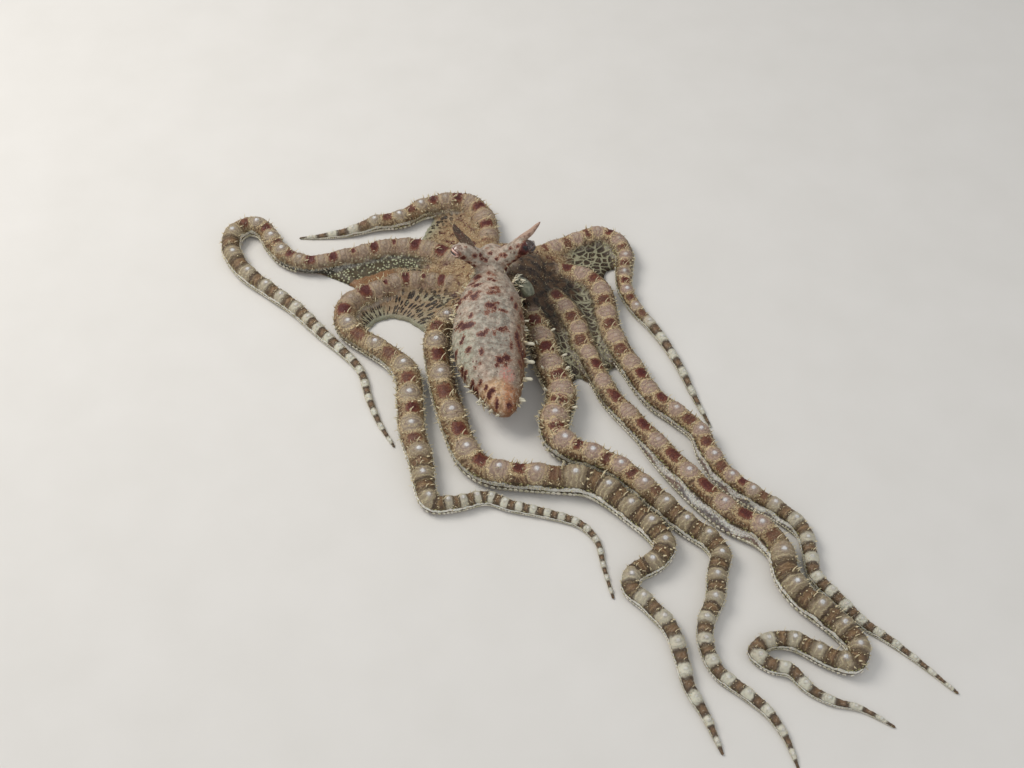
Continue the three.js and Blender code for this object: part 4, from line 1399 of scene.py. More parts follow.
# %% Web colours
def web_colour(paint, v):
    """Colour of the webs, and the height of their net."""
    cells, east = paint.vector("cells"), v.x.rise(-6, 4)
    rim, plain = paint["rim"], paint["plain"]
    hole = paint.cells(cells, Randomness=0.5).stray(v.fine, 0.25).rise(0.5, 0.36)
    hole = hole * rim.rise(1, 0.4) * (1 - plain * 0.9)
    stretched = paint.node("ShaderNodeVectorMath", {"operation": "MULTIPLY"},
                           {0: cells, 1: (0.8, 0.8, 0.34)}, "Vector")
    lines = paint.cells(stretched, 1.0, {"feature": "DISTANCE_TO_EDGE"}, Randomness=0.9)
    lines = lines.stray(v.fine, 0.1).rise(0.14, 0.05)
    row = specks(paint, v, 1.2, 0.22, 0.48)
    blots = paint.noise(v.where, 0.45, 3)
    roots = paint.coats(
        paint.mix(blots.rise(0.35, 0.6), (132, 102, 72), (160, 136, 104)),
        (blots.rise(0.44, 0.36), (92, 44, 30)),
        (v.fine.rise(0.55, 0.68) * 0.7, (210, 196, 158)))
    colour = paint.coats(
        paint.mix(v.broad.rise(0.4, 0.6), (154, 148, 124), (152, 132, 106)),
        (v.grain.rise(0.5, 0.65) * 0.5, (112, 90, 58)),
        (paint["beside"] * 0.55, paint.mix(v.grain, (136, 88, 48), (160, 130, 92))),
        (rim * 0.6, (156, 160, 142)),
        (plain * 0.85, paint.mix(v.grain, (118, 78, 42), (150, 108, 66))),
        (hole, paint.mix(v.fine, (24, 16, 10), (62, 42, 24))),
        (east, paint.mix(lines, paint.mix(v.grain, (30, 22, 14), (84, 64, 40)),
                         (156, 152, 128))),
        (v.fine.rise(0.6, 0.7) * 0.6, (200, 194, 160)),
        (v.strip * 0.95, paint.mix(row, paint.mix(v.grain, (40, 34, 22), (96, 86, 56)),
                                   paint.mix(v.grain, (150, 152, 118), (206, 210, 180)))),
        (paint["hub"], roots),
        # Painted shade: dark mottled brown on the webs beside the head and the mantle
        (paint["dusk"] * 0.85,
         paint.mix(blots.rise(0.42, 0.6), (34, 23, 15), (86, 62, 40))))
    return colour, 1 - (hole * (1 - east) + (1 - lines) * east)


web_tone, net_height = web_colour(skin_paint, here)
print("web colours:", len(skin_paint.tree.nodes), "nodes so far")

# %% [markdown]
# The mantle's colours are placed by position: a cooler middle and left side, a yellow-brown
# right flank darkened with painted shade, a blush above the orange tip. The marks come from
# the number stored for them.

# %% Body colours and the whole skin
def body_colour(paint, v):
    """Colour of the mantle and the head."""
    x, y, z, grain, fine = v.x, v.y, v.z, v.grain, v.fine
    blur = paint.noise(v.where, 0.35, 3)
    middle = abs((x + 14.5).stray(grain, 5)).rise(7, 3) * y.rise(14, 20) * y.rise(39, 32)
    left = (x + 20).stray(grain, 4).rise(2.5, -2) * y.rise(33, 25)
    right = (x + 8).stray(grain, 5).rise(-2, 2) * y.rise(42, 36)
    rear = y.stray(v.broad, 8).stray(grain, 4).rise(11.5, 8)
    rust = (x + 11.5).stray(grain, 3).rise(-1, 1.6) * 0.85
    tip = paint.mix(rust, paint.mix(grain, (208, 164, 118), (214, 188, 154)),
                    (186, 116, 62))
    pleat = (y * 3.9 + grain * 9).math("SINE").rise(0.55, 1) * fine.rise(0.42, 0.55)
    blush = ((x + 10.4) * (x + 10.4) + (y - 12.4) * (y - 12.4)).math("SQRT").rise(2.9, 1.2)
    rosy = specks(paint, v, 1.5, 0.3, 0.5) * 0.7 + 0.3
    stain = paint["mark"].stray(grain, 1.6).stray(fine, 2.2)
    return paint.coats(
        paint.mix(blur.rise(0.4, 0.6), (172, 154, 138), (164, 154, 140)),
        (middle * 0.6, (146, 146, 136)),
        (left * 0.75, (170, 174, 156)),
        (rear * 0.85, tip),
        # The right flank: its own yellow-brown, darkened as painted shade
        (right * 0.85, (114, 82, 42)),
        ((z - 8.5).stray(grain, 5).rise(3.5, -1) * 0.75, (120, 80, 44)),
        (grain.rise(0.48, 0.64) * 0.45, (204, 190, 174)),
        (grain.rise(0.5, 0.38) * 0.4, (112, 88, 72)),
        (pleat * 0.45, (118, 88, 72)),
        (blush * rosy * 0.7, (206, 134, 122)),
        (specks(paint, v, 0.62, 0.1, 0.26) * blur.rise(0.4, 0.55) * 0.8, (104, 60, 46)),
        (fine.rise(0.58, 0.7) * 0.5, (218, 208, 188)),
        (stain.rise(-0.3, 0.2) * 0.75, (138, 84, 56)),
        (stain.rise(0.15, 0.6), (84, 32, 26)),
        # Near black where the marks are strongest; round the right eye this is painted shade
        (stain.rise(1.2, 1.6), (18, 10, 12)))


arm_part, body_part = skin_paint["arm_share"], skin_paint["body_share"]
tone_here = skin_paint.coats(
    web_tone, (arm_part, arm_tone), (body_part, body_colour(skin_paint, here)),
    (skin_paint["tip"].rise(0.15, 0.6),
     skin_paint.mix(here.grain, (204, 188, 148), (226, 216, 190))))
tone_here = skin_paint.node("ShaderNodeGamma", {}, {"Color": tone_here, "Gamma": 1.16},
                            "Color")
height = here.fine * 0.7 + here.grain * 0.3 + arm_part * fold_height * 0.6 + (
    1 - arm_part) * (1 - body_part) * net_height * 0.8
skin_material = skin_paint.finish(
    tone_here, 0.62 - here.fine * 0.25, height, 0.28, Specular_IOR_Level=0.4,
    Subsurface_Weight=0.08, Subsurface_Scale=1.0, Subsurface_Radius=(0.0012, 0.0006, 0.0004))
skin_mesh.materials.append(skin_material)
FLESH = [n for n in frame["nodes"] if n.split("_")[0] in
         ("crown", "mantle", "head", "arm", "web") or n.startswith("eye_stalk")]
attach(skin, "root")
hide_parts(*FLESH)
print("the skin stands for", len(FLESH), "nodes")

# %% [markdown]
# ## Eyes
# An eyeball sits in its ring of flesh. Its pupil is a level slit, sunk a little into the
# iris. The ball is a loft about the direction of sight, so that the rings follow the iris.

# %% Eyes
EYE_BALL = 2.05      # radius in millimetres
EYE_SIDES = 48
SLIT_DEPTH = 0.35


def facing_out(piece):
    """Turns all faces of a closed mesh outwards."""
    form = bmesh.new()
    form.from_mesh(piece.data)
    bmesh.ops.recalc_face_normals(form, faces=form.faces)
    form.to_mesh(piece.data)
    form.free()
    return piece


def eye_ball(side):
    centre, looks, right, up = eye_frame(side)
    rings, flat = [], []
    for a in np.linspace(0.05, math.pi - 0.05, 30):
        x, y = (EYE_BALL * math.sin(a) * f(circle(EYE_SIDES)) for f in (np.cos, np.sin))
        slit = np.clip(1 - np.hypot(x / 1.25, y / 0.42), 0, 1) * (math.cos(a) > 0)
        out = EYE_BALL * math.cos(a) - SLIT_DEPTH * smooth_step(slit, 0, 0.4)
        rings.append(centre + np.outer(x, right) + np.outer(y, up)
                     + out[:, None] * looks)
        flat.append(np.stack([x, y, np.full(EYE_SIDES, a)], -1))
    points, faces = loft(r[::-1] for r in rings)
    flat = np.concatenate([f[::-1] for f in flat] + [[[0, 0, 0], [0, 0, math.pi]]])
    ball = facing_out(mesh_object("eye_ball_" + side, points, faces))
    store(ball.data, "sight", flat)
    return ball


def eye_paint():
    """A pale iris with rusty bars round a black slit; the right eye is darkened with painted
    shade.
    """
    paint = Paint("eye surface")
    x, y, _ = paint.axes(paint.vector("sight"))
    where = paint.place()
    grain = paint.noise(where, 2.5, 3)
    slit = hypot(x / 1.3, y / 0.42)
    iris = hypot(x / 1.8, y / 1.15).stray(grain, 0.3)
    colour = paint.coats(
        paint.mix(grain.rise(0.35, 0.65), (208, 164, 146), (232, 204, 190)),
        (slit.rise(2.1, 1.5) * grain.rise(0.4, 0.5) * y.rise(-0.1, 0.2), (120, 50, 28)),
        (iris.rise(0.92, 1.06), (82, 30, 26)),
        (iris.rise(1.12, 1.3), paint.mix(grain.rise(0.4, 0.6), (118, 92, 78),
                                         (166, 146, 132))),
        (slit.rise(1.12, 0.95), (10, 7, 8)),
        # Painted shade over the right eye, which lies at the greater x
        (paint.axes(where)[0].rise(-16, -12) * 0.85, (30, 20, 18)))
    return paint.finish(colour, 0.14, grain * slit.rise(0.9, 1.2), 0.05, Coat_Weight=0.6,
                        Coat_Roughness=0.06)


eye_material = eye_paint()
for side in STALKS:
    ball = eye_ball(side)
    ball.data.materials.append(eye_material)
    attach(ball, "root")
    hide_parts("eye_" + side)
    print(ball.name, "looks", eye_frame(side)[1].round(2).tolist())

# %% [markdown]
# ## Horns and siphon
# A soft horn stands behind each eye. The siphon is a short pipe under the head, with a
# rolled rim. Both are lofts along a bent line: the siphon's rings turn back inside, which
# gives the pipe its wall.

# %% Horns and siphon
HORN_WIDTHS = {"left": 1.45, "right": 1.2}
SIPHON_ROUTE = [[-8, 48.4, 14.4], [-5.8, 47.1, 14.6], [-4.5, 45.6, 13.8], [-4, 44.4, 12.4]]


def horn_rings(side):
    """A flattened horn along a bent line that lies on the stalk and points up and out."""
    line = curve_through(STALKS[side]["horn"], 12)[1]
    ahead = np.gradient(line, axis=0)
    for i, t in enumerate(np.linspace(0, 1, len(line))):
        along = unit(ahead[i])
        right = unit(np.cross(along, (0.1, -0.7, 0.7)))
        back = np.cross(right, along)
        width = (HORN_WIDTHS[side] * (1 - t) ** 0.8 * min(1, 0.45 + 2.2 * t)
                 + 0.25 * (1 - t ** 6) + 0.03)
        turn = circle(18)
        knobs = 1 + 0.1 * np.sin(5 * turn + 7 * t) * math.sin(9 * t)
        yield (line[i] + np.outer(np.cos(turn) * width * knobs, right)
               + np.outer(np.sin(turn) * width * 0.6 * knobs, back))


def siphon_rings():
    """A soft bent pipe: the rings run out to the rim and then back inside."""
    line = curve_through(SIPHON_ROUTE, 8)[1]
    ahead = np.gradient(line, axis=0)
    last = len(line) - 1
    widths = np.interp(np.linspace(0, 1, last + 1), [0, 0.6, 0.9, 1], [1.7, 1.9, 1.8, 1.35])
    stations = list(enumerate(widths)) + [(i, 0.95) for i in range(last, last - 6, -1)]
    for i, width in stations:
        along = unit(ahead[i])
        right = unit(np.cross(along, (0.05, 0.1, 1)))
        yield ring(line[i], right * width, np.cross(right, along) * width, 24)


def horn_paint(side, low, high):
    paint = Paint("horn " + side)
    where = paint.place()
    grain, fine = paint.noise(where, 1.1), paint.noise(where, 3, 3)
    tall = paint.axes(where)[2].rise(25, 31.5)
    colour = paint.coats(
        paint.mix(tall + grain - 0.5, low, high),
        (fine.rise(0.55, 0.7) * 0.6, (206, 186, 156)),
        (grain.rise(0.5, 0.36) * 0.6, (92, 52, 40)))
    return paint.finish(colour, 0.5, fine, 0.2, Specular_IOR_Level=0.4)


HORN_TONES = {"left": ((98, 76, 58), (66, 50, 38)),
              "right": ((164, 140, 122), (172, 140, 122))}
for side, (low, high) in HORN_TONES.items():
    horn = facing_out(mesh_object("horn_skin_" + side, *loft(horn_rings(side))))
    horn.data.materials.append(horn_paint(side, low, high))
    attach(horn, "root")
    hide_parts("horn_" + side)

siphon = facing_out(mesh_object("siphon_pipe", *loft(siphon_rings())))
paint = Paint("siphon")
grain = paint.noise(paint.place(), 1.2, 3)
siphon.data.materials.append(paint.finish(
    paint.mix(grain.rise(0.35, 0.65), (88, 90, 74), (122, 122, 104)),
    0.45, grain, 0.12, Specular_IOR_Level=0.4))
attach(siphon, "root")
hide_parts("siphon")
print("horns and siphon made")

# %% [markdown]
# ## Growing small parts with Geometry Nodes
# Suckers and papillae are one small mesh, repeated thousands of times. A node tree puts a
# copy on each of its points, turns and scales it, then makes all copies real. `Growth`
# writes such a tree as short lines, in the way that `Paint` writes a material. Each copy
# gets its own small patch of the skin's unwrap, beside the place where it stands.

# %% Geometry Nodes helper
class Growth:
    """A Geometry Nodes tree with named inputs."""

    def __init__(self, name, inputs):
        self.tree = bpy.data.node_groups.new(name, "GeometryNodeTree")
        face = self.tree.interface
        face.new_socket(name="Geometry", in_out="OUTPUT", socket_type="NodeSocketGeometry")
        face.new_socket(name="Geometry", in_out="INPUT", socket_type="NodeSocketGeometry")
        self.ids = {}
        for key, kind in inputs.items():
            socket = face.new_socket(name=key, in_out="INPUT", socket_type="NodeSocket" + kind)
            self.ids[key] = socket.identifier
        self.entry = self.tree.nodes.new("NodeGroupInput")
        self.exit = self.tree.nodes.new("NodeGroupOutput")

    def given(self, key):
        return self.entry.outputs[key]

    def node(self, kind, settings, inputs, output=0):
        return add_node(self.tree, kind, settings, inputs).outputs[output]

    def named(self, key, kind="FLOAT"):
        return self.node("GeometryNodeInputNamedAttribute", {"data_type": kind},
                         {"Name": key})

    def chance(self, low, high, seed):
        """A random number for each point."""
        return self.node("FunctionNodeRandomValue", {"data_type": "FLOAT"},
                         {2: low, 3: high, 8: seed}, 1)

    def times(self, first, second):
        return self.node("ShaderNodeMath", {"operation": "MULTIPLY"}, {0: first, 1: second})

    def store(self, where, name, value, **settings):
        return self.node("GeometryNodeStoreNamedAttribute", settings,
                         {"Geometry": where, "Name": name, "Value": value})

    def forget(self, where, name):
        return self.node("GeometryNodeRemoveAttribute", {}, {"Geometry": where, "Name": name})

    def plant(self, points, rotation, scale):
        """Copies of the input object on points, with patches of the skin's unwrap."""
        skin_faces = self.node("GeometryNodeObjectInfo", {}, {"Object": self.given("Skin")},
                               "Geometry")
        root = self.node("GeometryNodeSampleNearestSurface", {"data_type": "FLOAT_VECTOR"},
                         {"Mesh": skin_faces, "Value": self.named("OFBake", "FLOAT_VECTOR")})
        points = self.store(points, "root", root, data_type="FLOAT_VECTOR", domain="POINT")
        points = self.forget(points, "OFBake")
        seed_part = self.node("GeometryNodeObjectInfo", {}, {"Object": self.given("Part")},
                              "Geometry")
        copies = self.node("GeometryNodeInstanceOnPoints", {},
                           {"Points": points, "Instance": seed_part, "Rotation": rotation,
                            "Scale": scale})
        real = self.node("GeometryNodeRealizeInstances", {}, {"Geometry": copies})
        patch = self.node("ShaderNodeVectorMath", {"operation": "SCALE"},
                          {0: self.named("patch", "FLOAT_VECTOR"), 3: PATCH})
        place = self.node("ShaderNodeVectorMath", {"operation": "ADD"},
                          {0: self.named("root", "FLOAT_VECTOR"), 1: patch})
        real = self.store(real, "OFBake", place, data_type="FLOAT2", domain="CORNER")
        real = self.forget(self.forget(real, "root"), "patch")
        real = self.node("GeometryNodeSetShadeSmooth", {}, {"Geometry": real})
        real = self.node("GeometryNodeSetMaterial", {},
                         {"Geometry": real, "Material": self.given("Material")})
        self.tree.links.new(real, self.exit.inputs[0])

    def grow(self, host, name, values):
        """Runs the tree on a host object and returns the result as a new mesh object."""
        modifier = host.modifiers.new(name, "NODES")
        modifier.node_group = self.tree
        for key, value in values.items():
            modifier[self.ids[key]] = value
        ready = host.evaluated_get(bpy.context.evaluated_depsgraph_get())
        mesh = bpy.data.meshes.new_from_object(ready)
        host.modifiers.remove(modifier)
        if mesh.materials[0] is None:      # the slot of the part, which had no material
            mesh.materials.pop(index=0)
        mesh.name = name
        made = bpy.data.objects.new(name, mesh)
        scene.collection.objects.link(made)
        print(name, "has", len(mesh.polygons), "faces")
        return made


PATCH = 0.003  # a copy's share of the skin's unwrap, along one side
print("a patch is", round(PATCH * UNIT_MM, 2), "mm of skin")

# %% [markdown]
# ## The part that is copied, and how it's planted
# A part is a small loft with a flat closed root. It carries a height from root to tip, which
# the paint uses, and a round patch of unwrap. `planted` puts copies of it on a path, which
# is a list of places, each with a direction and a size.

# %% Parts and planting
def part_to_copy(name, rings, tips):
    """A small closed mesh, ready to be copied."""
    sides, levels = len(rings[0]), len(rings)
    last = sides * levels      # the loft's first end point, which a flat root doesn't need
    points, faces = loft(rings)
    faces = [tuple(min(v, last) for v in f) for f in faces if last not in f]
    part = facing_out(mesh_object(name, points[np.r_[0:last, last + 1]],
                                  faces + [tuple(range(sides))]))
    tips = np.repeat(tips, sides)
    store(part.data, "tip", np.append(tips, tips[-1]))
    patch = part.data.uv_layers.new(name="patch").data
    for loop, uv in zip(part.data.loops, patch):
        v = loop.vertex_index
        out = 0.5 * (1 - v // sides / levels)
        turn = 2 * math.pi * (v % sides) / sides
        uv.uv = (out * math.cos(turn), out * math.sin(turn))
    part.hide_render = True
    return part


rows = Growth("copies on points", {"Skin": "Object", "Part": "Object", "Material": "Material"})
aim = rows.node("FunctionNodeAlignRotationToVector", {"axis": "Z"},
                {"Vector": rows.named("aim", "FLOAT_VECTOR")})
rows.plant(rows.node("GeometryNodeMeshToPoints", {}, {"Mesh": rows.given("Geometry")}), aim,
           rows.named("size"))


def planted(name, path, part, material):
    """Copies of a part on a path of places, directions and sizes."""
    places, aims, sizes = (np.array([row[i] for row in path], float) for i in range(3))
    host = mesh_object(name + "_path", places, [])
    store(host.data, "aim", aims)
    store(host.data, "size", sizes)
    made = rows.grow(host, name, {"Skin": skin, "Part": part, "Material": material})
    bpy.data.objects.remove(host)
    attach(made, "root")
    return made


print("the planting tree has", len(rows.tree.nodes), "nodes")

# %% [markdown]
# ## Suckers
# Two rows of small cups run along each arm, just above the floor. They start where the webs
# on that side end. Their size and spacing follow the arm's width.

# %% Sucker rows
SUCKER_TURN = 1.93        # angle from the top of the arm to a row, in radians
SUCKER_TILT = 0.25
WEB_SHARE = 0.7           # where along a web its side of the arm is told
BARE_TIP = 1.5            # the last millimetres of an arm carry nothing


def web_reach(name):
    """How far the webs reach along the two sides of an arm: left, right."""
    reach = {1: ROOT_REACH, -1: ROOT_REACH}
    for first, second, _ in WEBS.values():
        for mine, other in ((first, second), (second, first)):
            if mine[0] != name:
                continue
            arm, middle = arms[name], mine[1] * WEB_SHARE
            x, y, _ = arm.at(middle)
            lx, ly = arm.left(middle)
            ox, oy, _ = arms[other[0]].at(other[1] * WEB_SHARE)
            side = 1 if (ox - x) * lx + (oy - y) * ly > 0 else -1
            reach[side] = max(reach[side], mine[1] - 2.0)
    return reach


def sucker_path():
    path = []
    for name, arm in arms.items():
        for side, start in web_reach(name).items():
            s = start
            while s < arm.length - BARE_TIP:
                r = float(arm.at(s)[2])
                place = arm.surface(np.array([s]), np.array([-SUCKER_TURN * side]))[0]
                lx, ly = (float(v) for v in arm.left(s))
                path.append((place, (lx * side, ly * side, -SUCKER_TILT), 0.15 * r + 0.1))
                s += 0.3 * r + 0.24
    return path


# A cup's rings: radius, height, and how far the ring is from root to rim
CUP = ((0.62, -0.5, 0), (0.92, 0.15, 0.3), (1.0, 0.42, 0.8), (0.8, 0.55, 1), (0.42, 0.2, 0.4))
sucker_part = part_to_copy(
    "sucker_part",
    [ring((0, 0, height), (radius, 0, 0), (0, radius, 0), 8) for radius, height, _ in CUP],
    [tip for _, _, tip in CUP])


def sucker_paint():
    paint = Paint("sucker")
    grain = paint.noise(paint.place(), 0.4)
    colour = paint.mix(grain.rise(0.4, 0.6), (196, 190, 164), (232, 226, 210))
    colour = paint.mix(paint["tip"].rise(0.6, 0.1) * 0.7, colour, (132, 116, 86))
    return paint.finish(colour, 0.45, Specular_IOR_Level=0.4)


planted("suckers", sucker_path(), sucker_part, sucker_paint())

# %% [markdown]
# ## Flaps, hairs and fingers
# Small ragged flaps stand round each pale dome, and one to three hairs rise between two
# domes. A ragged hem runs along both sides of an arm. White-tipped fingers stand out of the
# mantle's right side, teeth edge its tip, and tufts of white frills grow by the neck and
# along its sides. The tree that plants the suckers plants all of these. First come the
# numbers that say how many there are, and where the single ones stand.

# %% Counts and places
FINE_STEPS = 4000     # samples along an arm, to find where its bands are
DOME_FLAPS = 12
# Hairs of a dark blotch: share of a band past its middle, turn from the arm's top
HAIRS = ((0.17, 0.0), (-0.12, 0.75), (0.1, -0.8))
# Fingers of the mantle: distance from the front, size
FINGERS = ((33, 1.8), (25.5, 3.4), (19.6, 3.6), (14.2, 3.4), (7.5, 2.4))
# Fingers on the right arm beside it: distance along the arm, turn from its top, size
ARM_FINGERS = ((17, -0.9, 2.2), (22, 0.5, 1.8), (27, -1.1, 2.4), (31, 0.7, 2.0),
               (34, -0.6, 2.2), (40, 1.0, 2.0), (45, -1.0, 2.2))
# Teeth at the mantle's tip: distance from the front, size
TEETH = ((7.4, 1.7), (6.1, 2.1), (4.9, 2.2), (3.5, 1.8))
# Tufts of frills: place, direction, count, spread
FRILLS = (
    ((-20.3, 48.5, 15.5), (-0.8, 0.1, 0.6), 18, 1.8),
    ((-21.8, 45, 13), (-1, 0, 0.4), 14, 1.5),
    ((-8.2, 47.4, 16.4), (0.8, 0, 0.8), 20, 1.5),
    ((-6.2, 46.4, 15.8), (1, -0.2, 0.6), 16, 1.1),
    ((-24.6, 35, 12.6), (-1, 0, 0.4), 16, 1.6),
    ((-24.9, 29, 11.5), (-1, 0, 0.3), 8, 1.2),
    ((-17.6, 7.2, 8.8), (-1, -0.3, 0.1), 14, 1.2),
    ((-20.8, 12, 9), (-1, -0.2, 0.3), 10, 1.4),
    ((-5.8, 30.5, 13.4), (1, 0, 0.4), 7, 1.5),
    ((-7.2, 8.5, 8.6), (1, -0.3, 0.3), 6, 1.2),
)
print("fingers:", len(FINGERS) + len(ARM_FINGERS), "tufts of frills:", len(FRILLS))

# %% [markdown]
# `stand` finds a place on an arm and the two ways that a part can lean there: out of the
# skin, and along the arm. Every random shift comes from `jitter`, a smooth noise read at
# fixed places, so it never changes between runs.

# %% Paths along the arms
def jitter(*seeds):
    """A repeatable random value, about -0.5 to 0.5."""
    return noise.noise(Vector([value * 3.7 + 0.31 for value in seeds]))


def stand(arm, s, turn):
    """A place on an arm, the way out of the skin there, and the way along the arm."""
    s, turn = np.array([s, s, s + 0.5]), np.array([turn - 0.15, turn + 0.15, turn])
    a, b, c = arm.surface(s, turn)
    middle = (a + b) / 2
    out = unit(np.cross(b - a, c - middle))
    centre = np.array([*(float(v) for v in arm.at(s[0])[:2]), float(arm.axis_height(s[0]))])
    return middle, out if out @ (middle - centre) > 0 else -out, unit(c - middle)


def dome_path():
    """Flaps round each dome: place, direction and size."""
    path = []
    for arm in arms.values():
        s = np.linspace(0, arm.length - 2, FINE_STEPS)
        count, pitch = arm.cycles(s)
        for number in range(int(count[0]), int(count[-1]) + 1):
            middle = float(np.interp(number + 0.5, count, s))
            r = float(arm.at(middle)[2])
            if middle < max(11, SMOOTH_TO[arm.name] - 4) or middle > arm.length - 4 or r < 1:
                continue
            reach = min(0.42 * float(np.interp(middle, s, pitch)), 0.95 * r)
            for k in range(DOME_FLAPS):
                a = 2 * math.pi * (k + 0.6 * jitter(k, number, arm.index)) / DOME_FLAPS
                here = middle + reach * math.cos(a)
                place, out, ahead = stand(arm, here, 0.98 * math.sin(a))
                side = place - stand(arm, middle, 0)[0]
                jog = jitter(here, k, arm.index)
                path.append((place, out + 0.5 * unit(side), r * 0.2 * (1 + 1.3 * jog)))
    return path


def hair_path():
    """One long hair on each dark blotch, and shorter ones on some."""
    path = []
    for arm in arms.values():
        s = np.linspace(0, arm.length - 2, FINE_STEPS)
        count = arm.cycles(s)[0]
        for number in range(int(count[0]), int(count[-1]) + 1):
            for k, (ahead, turn) in enumerate(HAIRS):
                jog = jitter(number, k, arm.index)
                spot = float(np.interp(number + ahead, count, s))
                if spot < 12 or spot > arm.length - 12 or (k and jog < 0):
                    continue
                place, out, along = stand(arm, spot, turn + 0.5 * jog)
                r = float(arm.at(spot)[2])
                path.append((place, out + along * 0.5 * jog, r * (0.62 if k == 0 else 0.42)))
    return path


def hem_path():
    """A ragged edge along both sides of every arm, fullest between the blotches."""
    path = []
    for arm in arms.values():
        s = 12.0
        while s < arm.length - BARE_TIP:
            r = float(arm.at(s)[2])
            swell = 0.5 - 0.5 * math.cos(2 * math.pi * float(arm.cycles(s)[0]))
            for side in (1, -1):
                jog = jitter(s, side, arm.index)
                place, out, along = stand(arm, s + 0.3 * jog, side * (1.38 + 0.2 * jog))
                path.append((place, out + (0, 0, 0.4) + 0.5 * jog * along,
                             (0.1 + 0.075 * r * (0.5 + swell)) * (1 + jog)))
            s += 0.35 + 0.09 * r
    return path


paths = {"dome_flaps": dome_path(), "arm_hems": hem_path(), "arm_hairs": hair_path()}
print("places on the arms:", {name: len(path) for name, path in paths.items()})

# %% [markdown]
# The body's fingers, frills and teeth come from the tables above. Inside a tuft, each frill
# gets its own shift and its own lean.

# %% Paths on the body
def finger_path():
    """White-tipped fingers along the mantle's right side and on the arm beside it."""
    path = []
    for y, size in FINGERS:
        centre, half = mantle_at(np.array(mantle_share(y)))
        path.append((centre + (half * 0.97, 0, half * 0.15), (1, -0.15, 0.25), size))
    for s, turn, size in ARM_FINGERS:
        place, out, _ = stand(arms["r4"], s, turn)
        path.append((place, out, size))
    return path


def frill_path():
    """Tufts beside the neck, at the siphon and on the mantle's sides, and its teeth."""
    path = []
    for spot, way, count, spread in FRILLS:
        for k in range(count):
            shift = np.array([jitter(k, spot[0], n) for n in range(3)]) * 2 * spread
            lean = np.array([jitter(k, spot[1], n + 5) for n in range(3)]) * 1.6
            path.append((spot + shift * (0.7, 1, 0.7), way + lean, 1.15 + 1.4 * jitter(k, 9, 2)))
    for y, size in TEETH:
        centre, half = mantle_at(np.array(mantle_share(y)))
        path.append((centre - (half * 0.9, 0, 0), (-1, -0.7, 0.2), size))
    return path


paths.update({"mantle_fingers": finger_path(), "neck_frills": frill_path()})
print("places in all:", sum(len(path) for path in paths.values()))

# %% [markdown]
# ## Planting them
# A flap is a flat blade, a hair is a thin bent cone, and a finger is a blunt rod. All of
# them are the same loft with other widths. Their paint runs from the arm's tan to cream.

# %% Flaps, hairs and fingers
def filament(name, length=1.0, width=0.17, bend=0.4, sides=4, steps=4, taper=0.72, flat=1.0,
             low=0.0, dome=1.0):
    """A small tapering blade, hair or rod that leans over, rounded beyond t = dome."""
    rings, tips = [], []
    for t in np.linspace(0, 1, steps):
        girth_here = width * (1 - taper * t)
        if t > dome:
            girth_here *= math.sqrt(1.02 - ((t - dome) / (1 - dome)) ** 2)
        rings.append(ring((bend * t * t, 0, length * t - 0.15), (girth_here * flat, 0, 0),
                          (0, girth_here, 0), sides))
        tips.append(low + (1 - low) * t)
    return part_to_copy(name, rings, tips)


def cream_paint(name, root, tip_tone):
    paint = Paint(name)
    tip = paint["tip"].stray(paint.noise(paint.place(), 1.3), 0.4)
    return paint.finish(paint.mix(tip.rise(0.05, 0.6), root, tip_tone), 0.5,
                        Specular_IOR_Level=0.4)


cream_material = cream_paint("cream flaps", (128, 104, 76), (216, 202, 166))
white_material = cream_paint("white flaps", (132, 106, 76), (204, 198, 176))
FILAMENTS = {
    # piece: its material, and the form of one copy
    "dome_flaps": (cream_material, dict(width=0.42, bend=0.35, steps=3, taper=0.85, flat=0.3,
                                        low=0.2)),
    "arm_hems": (cream_material, dict(width=0.6, bend=0.25, steps=3, taper=0.7, flat=0.3,
                                      low=0.35)),
    "arm_hairs": (cream_material, dict(width=0.1, sides=5, steps=7, taper=0.6, low=0.3)),
    "mantle_fingers": (white_material, dict(width=0.125, bend=0.16, sides=10, steps=15,
                                            taper=-0.35, dome=0.72)),
    "neck_frills": (white_material, dict(length=1.1, width=0.34, bend=0.5, sides=5, steps=5,
                                         taper=0.85, flat=0.3, low=0.3)),
}
for name, (material, form_of_one) in FILAMENTS.items():
    planted(name, paths[name], filament(name + "_part", **form_of_one), material)

# %% [markdown]
# ## Papillae
# Fine filaments fringe the arms and ring their blotches. Blunter ones stand on the mantle,
# densest along its flanks and beside the neck. Where they grow is a matter of density, so
# the skin carries a density number, and a node tree scatters the copies by it.

# %% Where papillae grow
def bell(value, middle, width):
    return np.exp(-((value - middle) / width) ** 2)


# Places beside the neck where ragged tufts grow, and how far each reaches
RAGGED, RAGGED_REACH = [(-21.5, 47), (-20.5, 50.5), (-8.2, 45.5), (-6.6, 48.5)], 2.6

to_blotch = np.abs((cycle + 0.5) % 1 - 0.5)
blotch_edge = ((to_blotch / 0.19) ** 4 + (np.abs(lean) / 0.62) ** 4) ** 0.25
fringe = bell(np.abs(turn), 1.35, 0.28)
lift = smooth_step(place[:, 2], 0.6, 1.2)
arm_tufts = lift * arm_share * (1 - body_share) * (crest > -0.25) * (
    0.3 * fringe * (1 - 0.6 * banded) + 0.4 * bell(blotch_edge, 1.25, 0.25) * (1 - banded)
    + 0.05 + 0.3 * (arm_id == arms["r4"].index) * (along < 52))
web_tufts = lift * (1 - arm_share) * (1 - body_share) * (0.025 + 0.4 * hub + 0.1 * dusk)
centre, half = mantle_at(np.clip(mantle_share(place[:, 1]), 0, 1))
flank = bell(np.abs(place[:, 0] - centre[:, 0]) / half, 1.0, 0.16)
rear = smooth_step(place[:, 1], 14, 5)
gaps = [np.hypot(place[:, 0] - x, place[:, 1] - y) for x, y in RAGGED]
frill = np.clip(1.4 - np.min(gaps, 0) / RAGGED_REACH, 0, 1) * (place[:, 2] < 18)
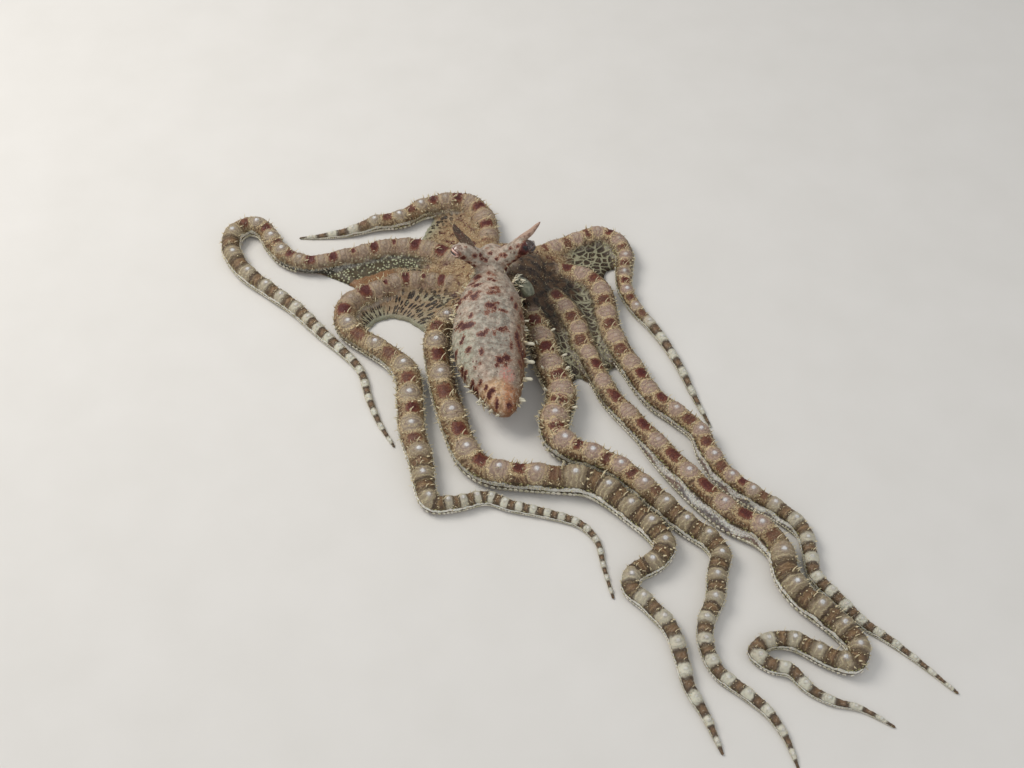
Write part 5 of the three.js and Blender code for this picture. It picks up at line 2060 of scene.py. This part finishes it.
body_tufts = body_share * (place[:, 2] > 4) * (place[:, 2] < 22) * (
    0.03 + 0.5 * flank + 0.15 * rear + 0.8 * frill) * (rough(place, 2.0, 4) > -0.1)
store(skin_mesh, "arm_tufts", np.clip(arm_tufts + web_tufts, 0, 1))
store(skin_mesh, "body_tufts", np.clip(body_tufts, 0, 1.2))
store(skin_mesh, "tuft_size", np.where(body_share > 0.5, 0.55 + 0.8 * np.maximum(
    flank, frill), np.clip(girth / 3.6, 0.35, 1.1) * (1 - 0.45 * (arm_share < 0.5))))
print("papillae may grow on", int(((arm_tufts + web_tufts > 0) | (body_tufts > 0)).sum()),
      "points")

# %% [markdown]
# The scatter tree multiplies the stored density by one for the whole coat. It stands each
# copy on the skin, tilts and spins it at random, and scales it by the stored size. The
# random values have fixed seeds, so each run grows the same coat.

# %% Scattering them
scatter = Growth("papillae", {
    "Skin": "Object", "Part": "Object", "Material": "Material", "Mask": "String",
    "Density": "Float", "Tilt": "Float", "Seed": "Int"})
scattered = add_node(
    scatter.tree, "GeometryNodeDistributePointsOnFaces", {"distribute_method": "RANDOM"},
    {"Mesh": scatter.given("Geometry"), "Seed": scatter.given("Seed"),
     "Density": scatter.times(scatter.named(scatter.given("Mask")), scatter.given("Density"))})
tilt = scatter.given("Tilt")
spin = scatter.node("ShaderNodeCombineXYZ", {}, {
    0: scatter.times(scatter.chance(-1, 1, 11), tilt),
    1: scatter.times(scatter.chance(-1, 1, 12), tilt), 2: scatter.chance(-3.14, 3.14, 13)})
turned = scatter.node("FunctionNodeRotateRotation", {"rotation_space": "LOCAL"},
                      {0: scattered.outputs["Rotation"], 1: spin})
scatter.plant(scattered.outputs["Points"], turned,
              scatter.times(scatter.named("tuft_size"), scatter.chance(0.5, 1.35, 14)))

COATS = {
    # name: part, mask, density per square metre, tilt in radians, seed
    "arm_papillae": (filament("filament_part", length=1.15), "arm_tufts", 0.8e6, 0.5, 3),
    "mantle_papillae": (filament("blunt_part", length=1.2, width=0.34, bend=0.5, sides=5,
                                 taper=0.8, flat=0.4), "body_tufts", 0.8e6, 0.8, 5),
}
for name, (part, mask_name, density, tilt, seed) in COATS.items():
    coat = scatter.grow(skin, name, {"Skin": skin, "Part": part, "Material": skin_material,
                                     "Mask": mask_name, "Density": density, "Tilt": tilt,
                                     "Seed": seed})
    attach(coat, "root")
for name in [o.name for o in scene.objects if o.name.endswith("_part")]:
    bpy.data.objects.remove(bpy.data.objects[name])

# %% [markdown] ## The end
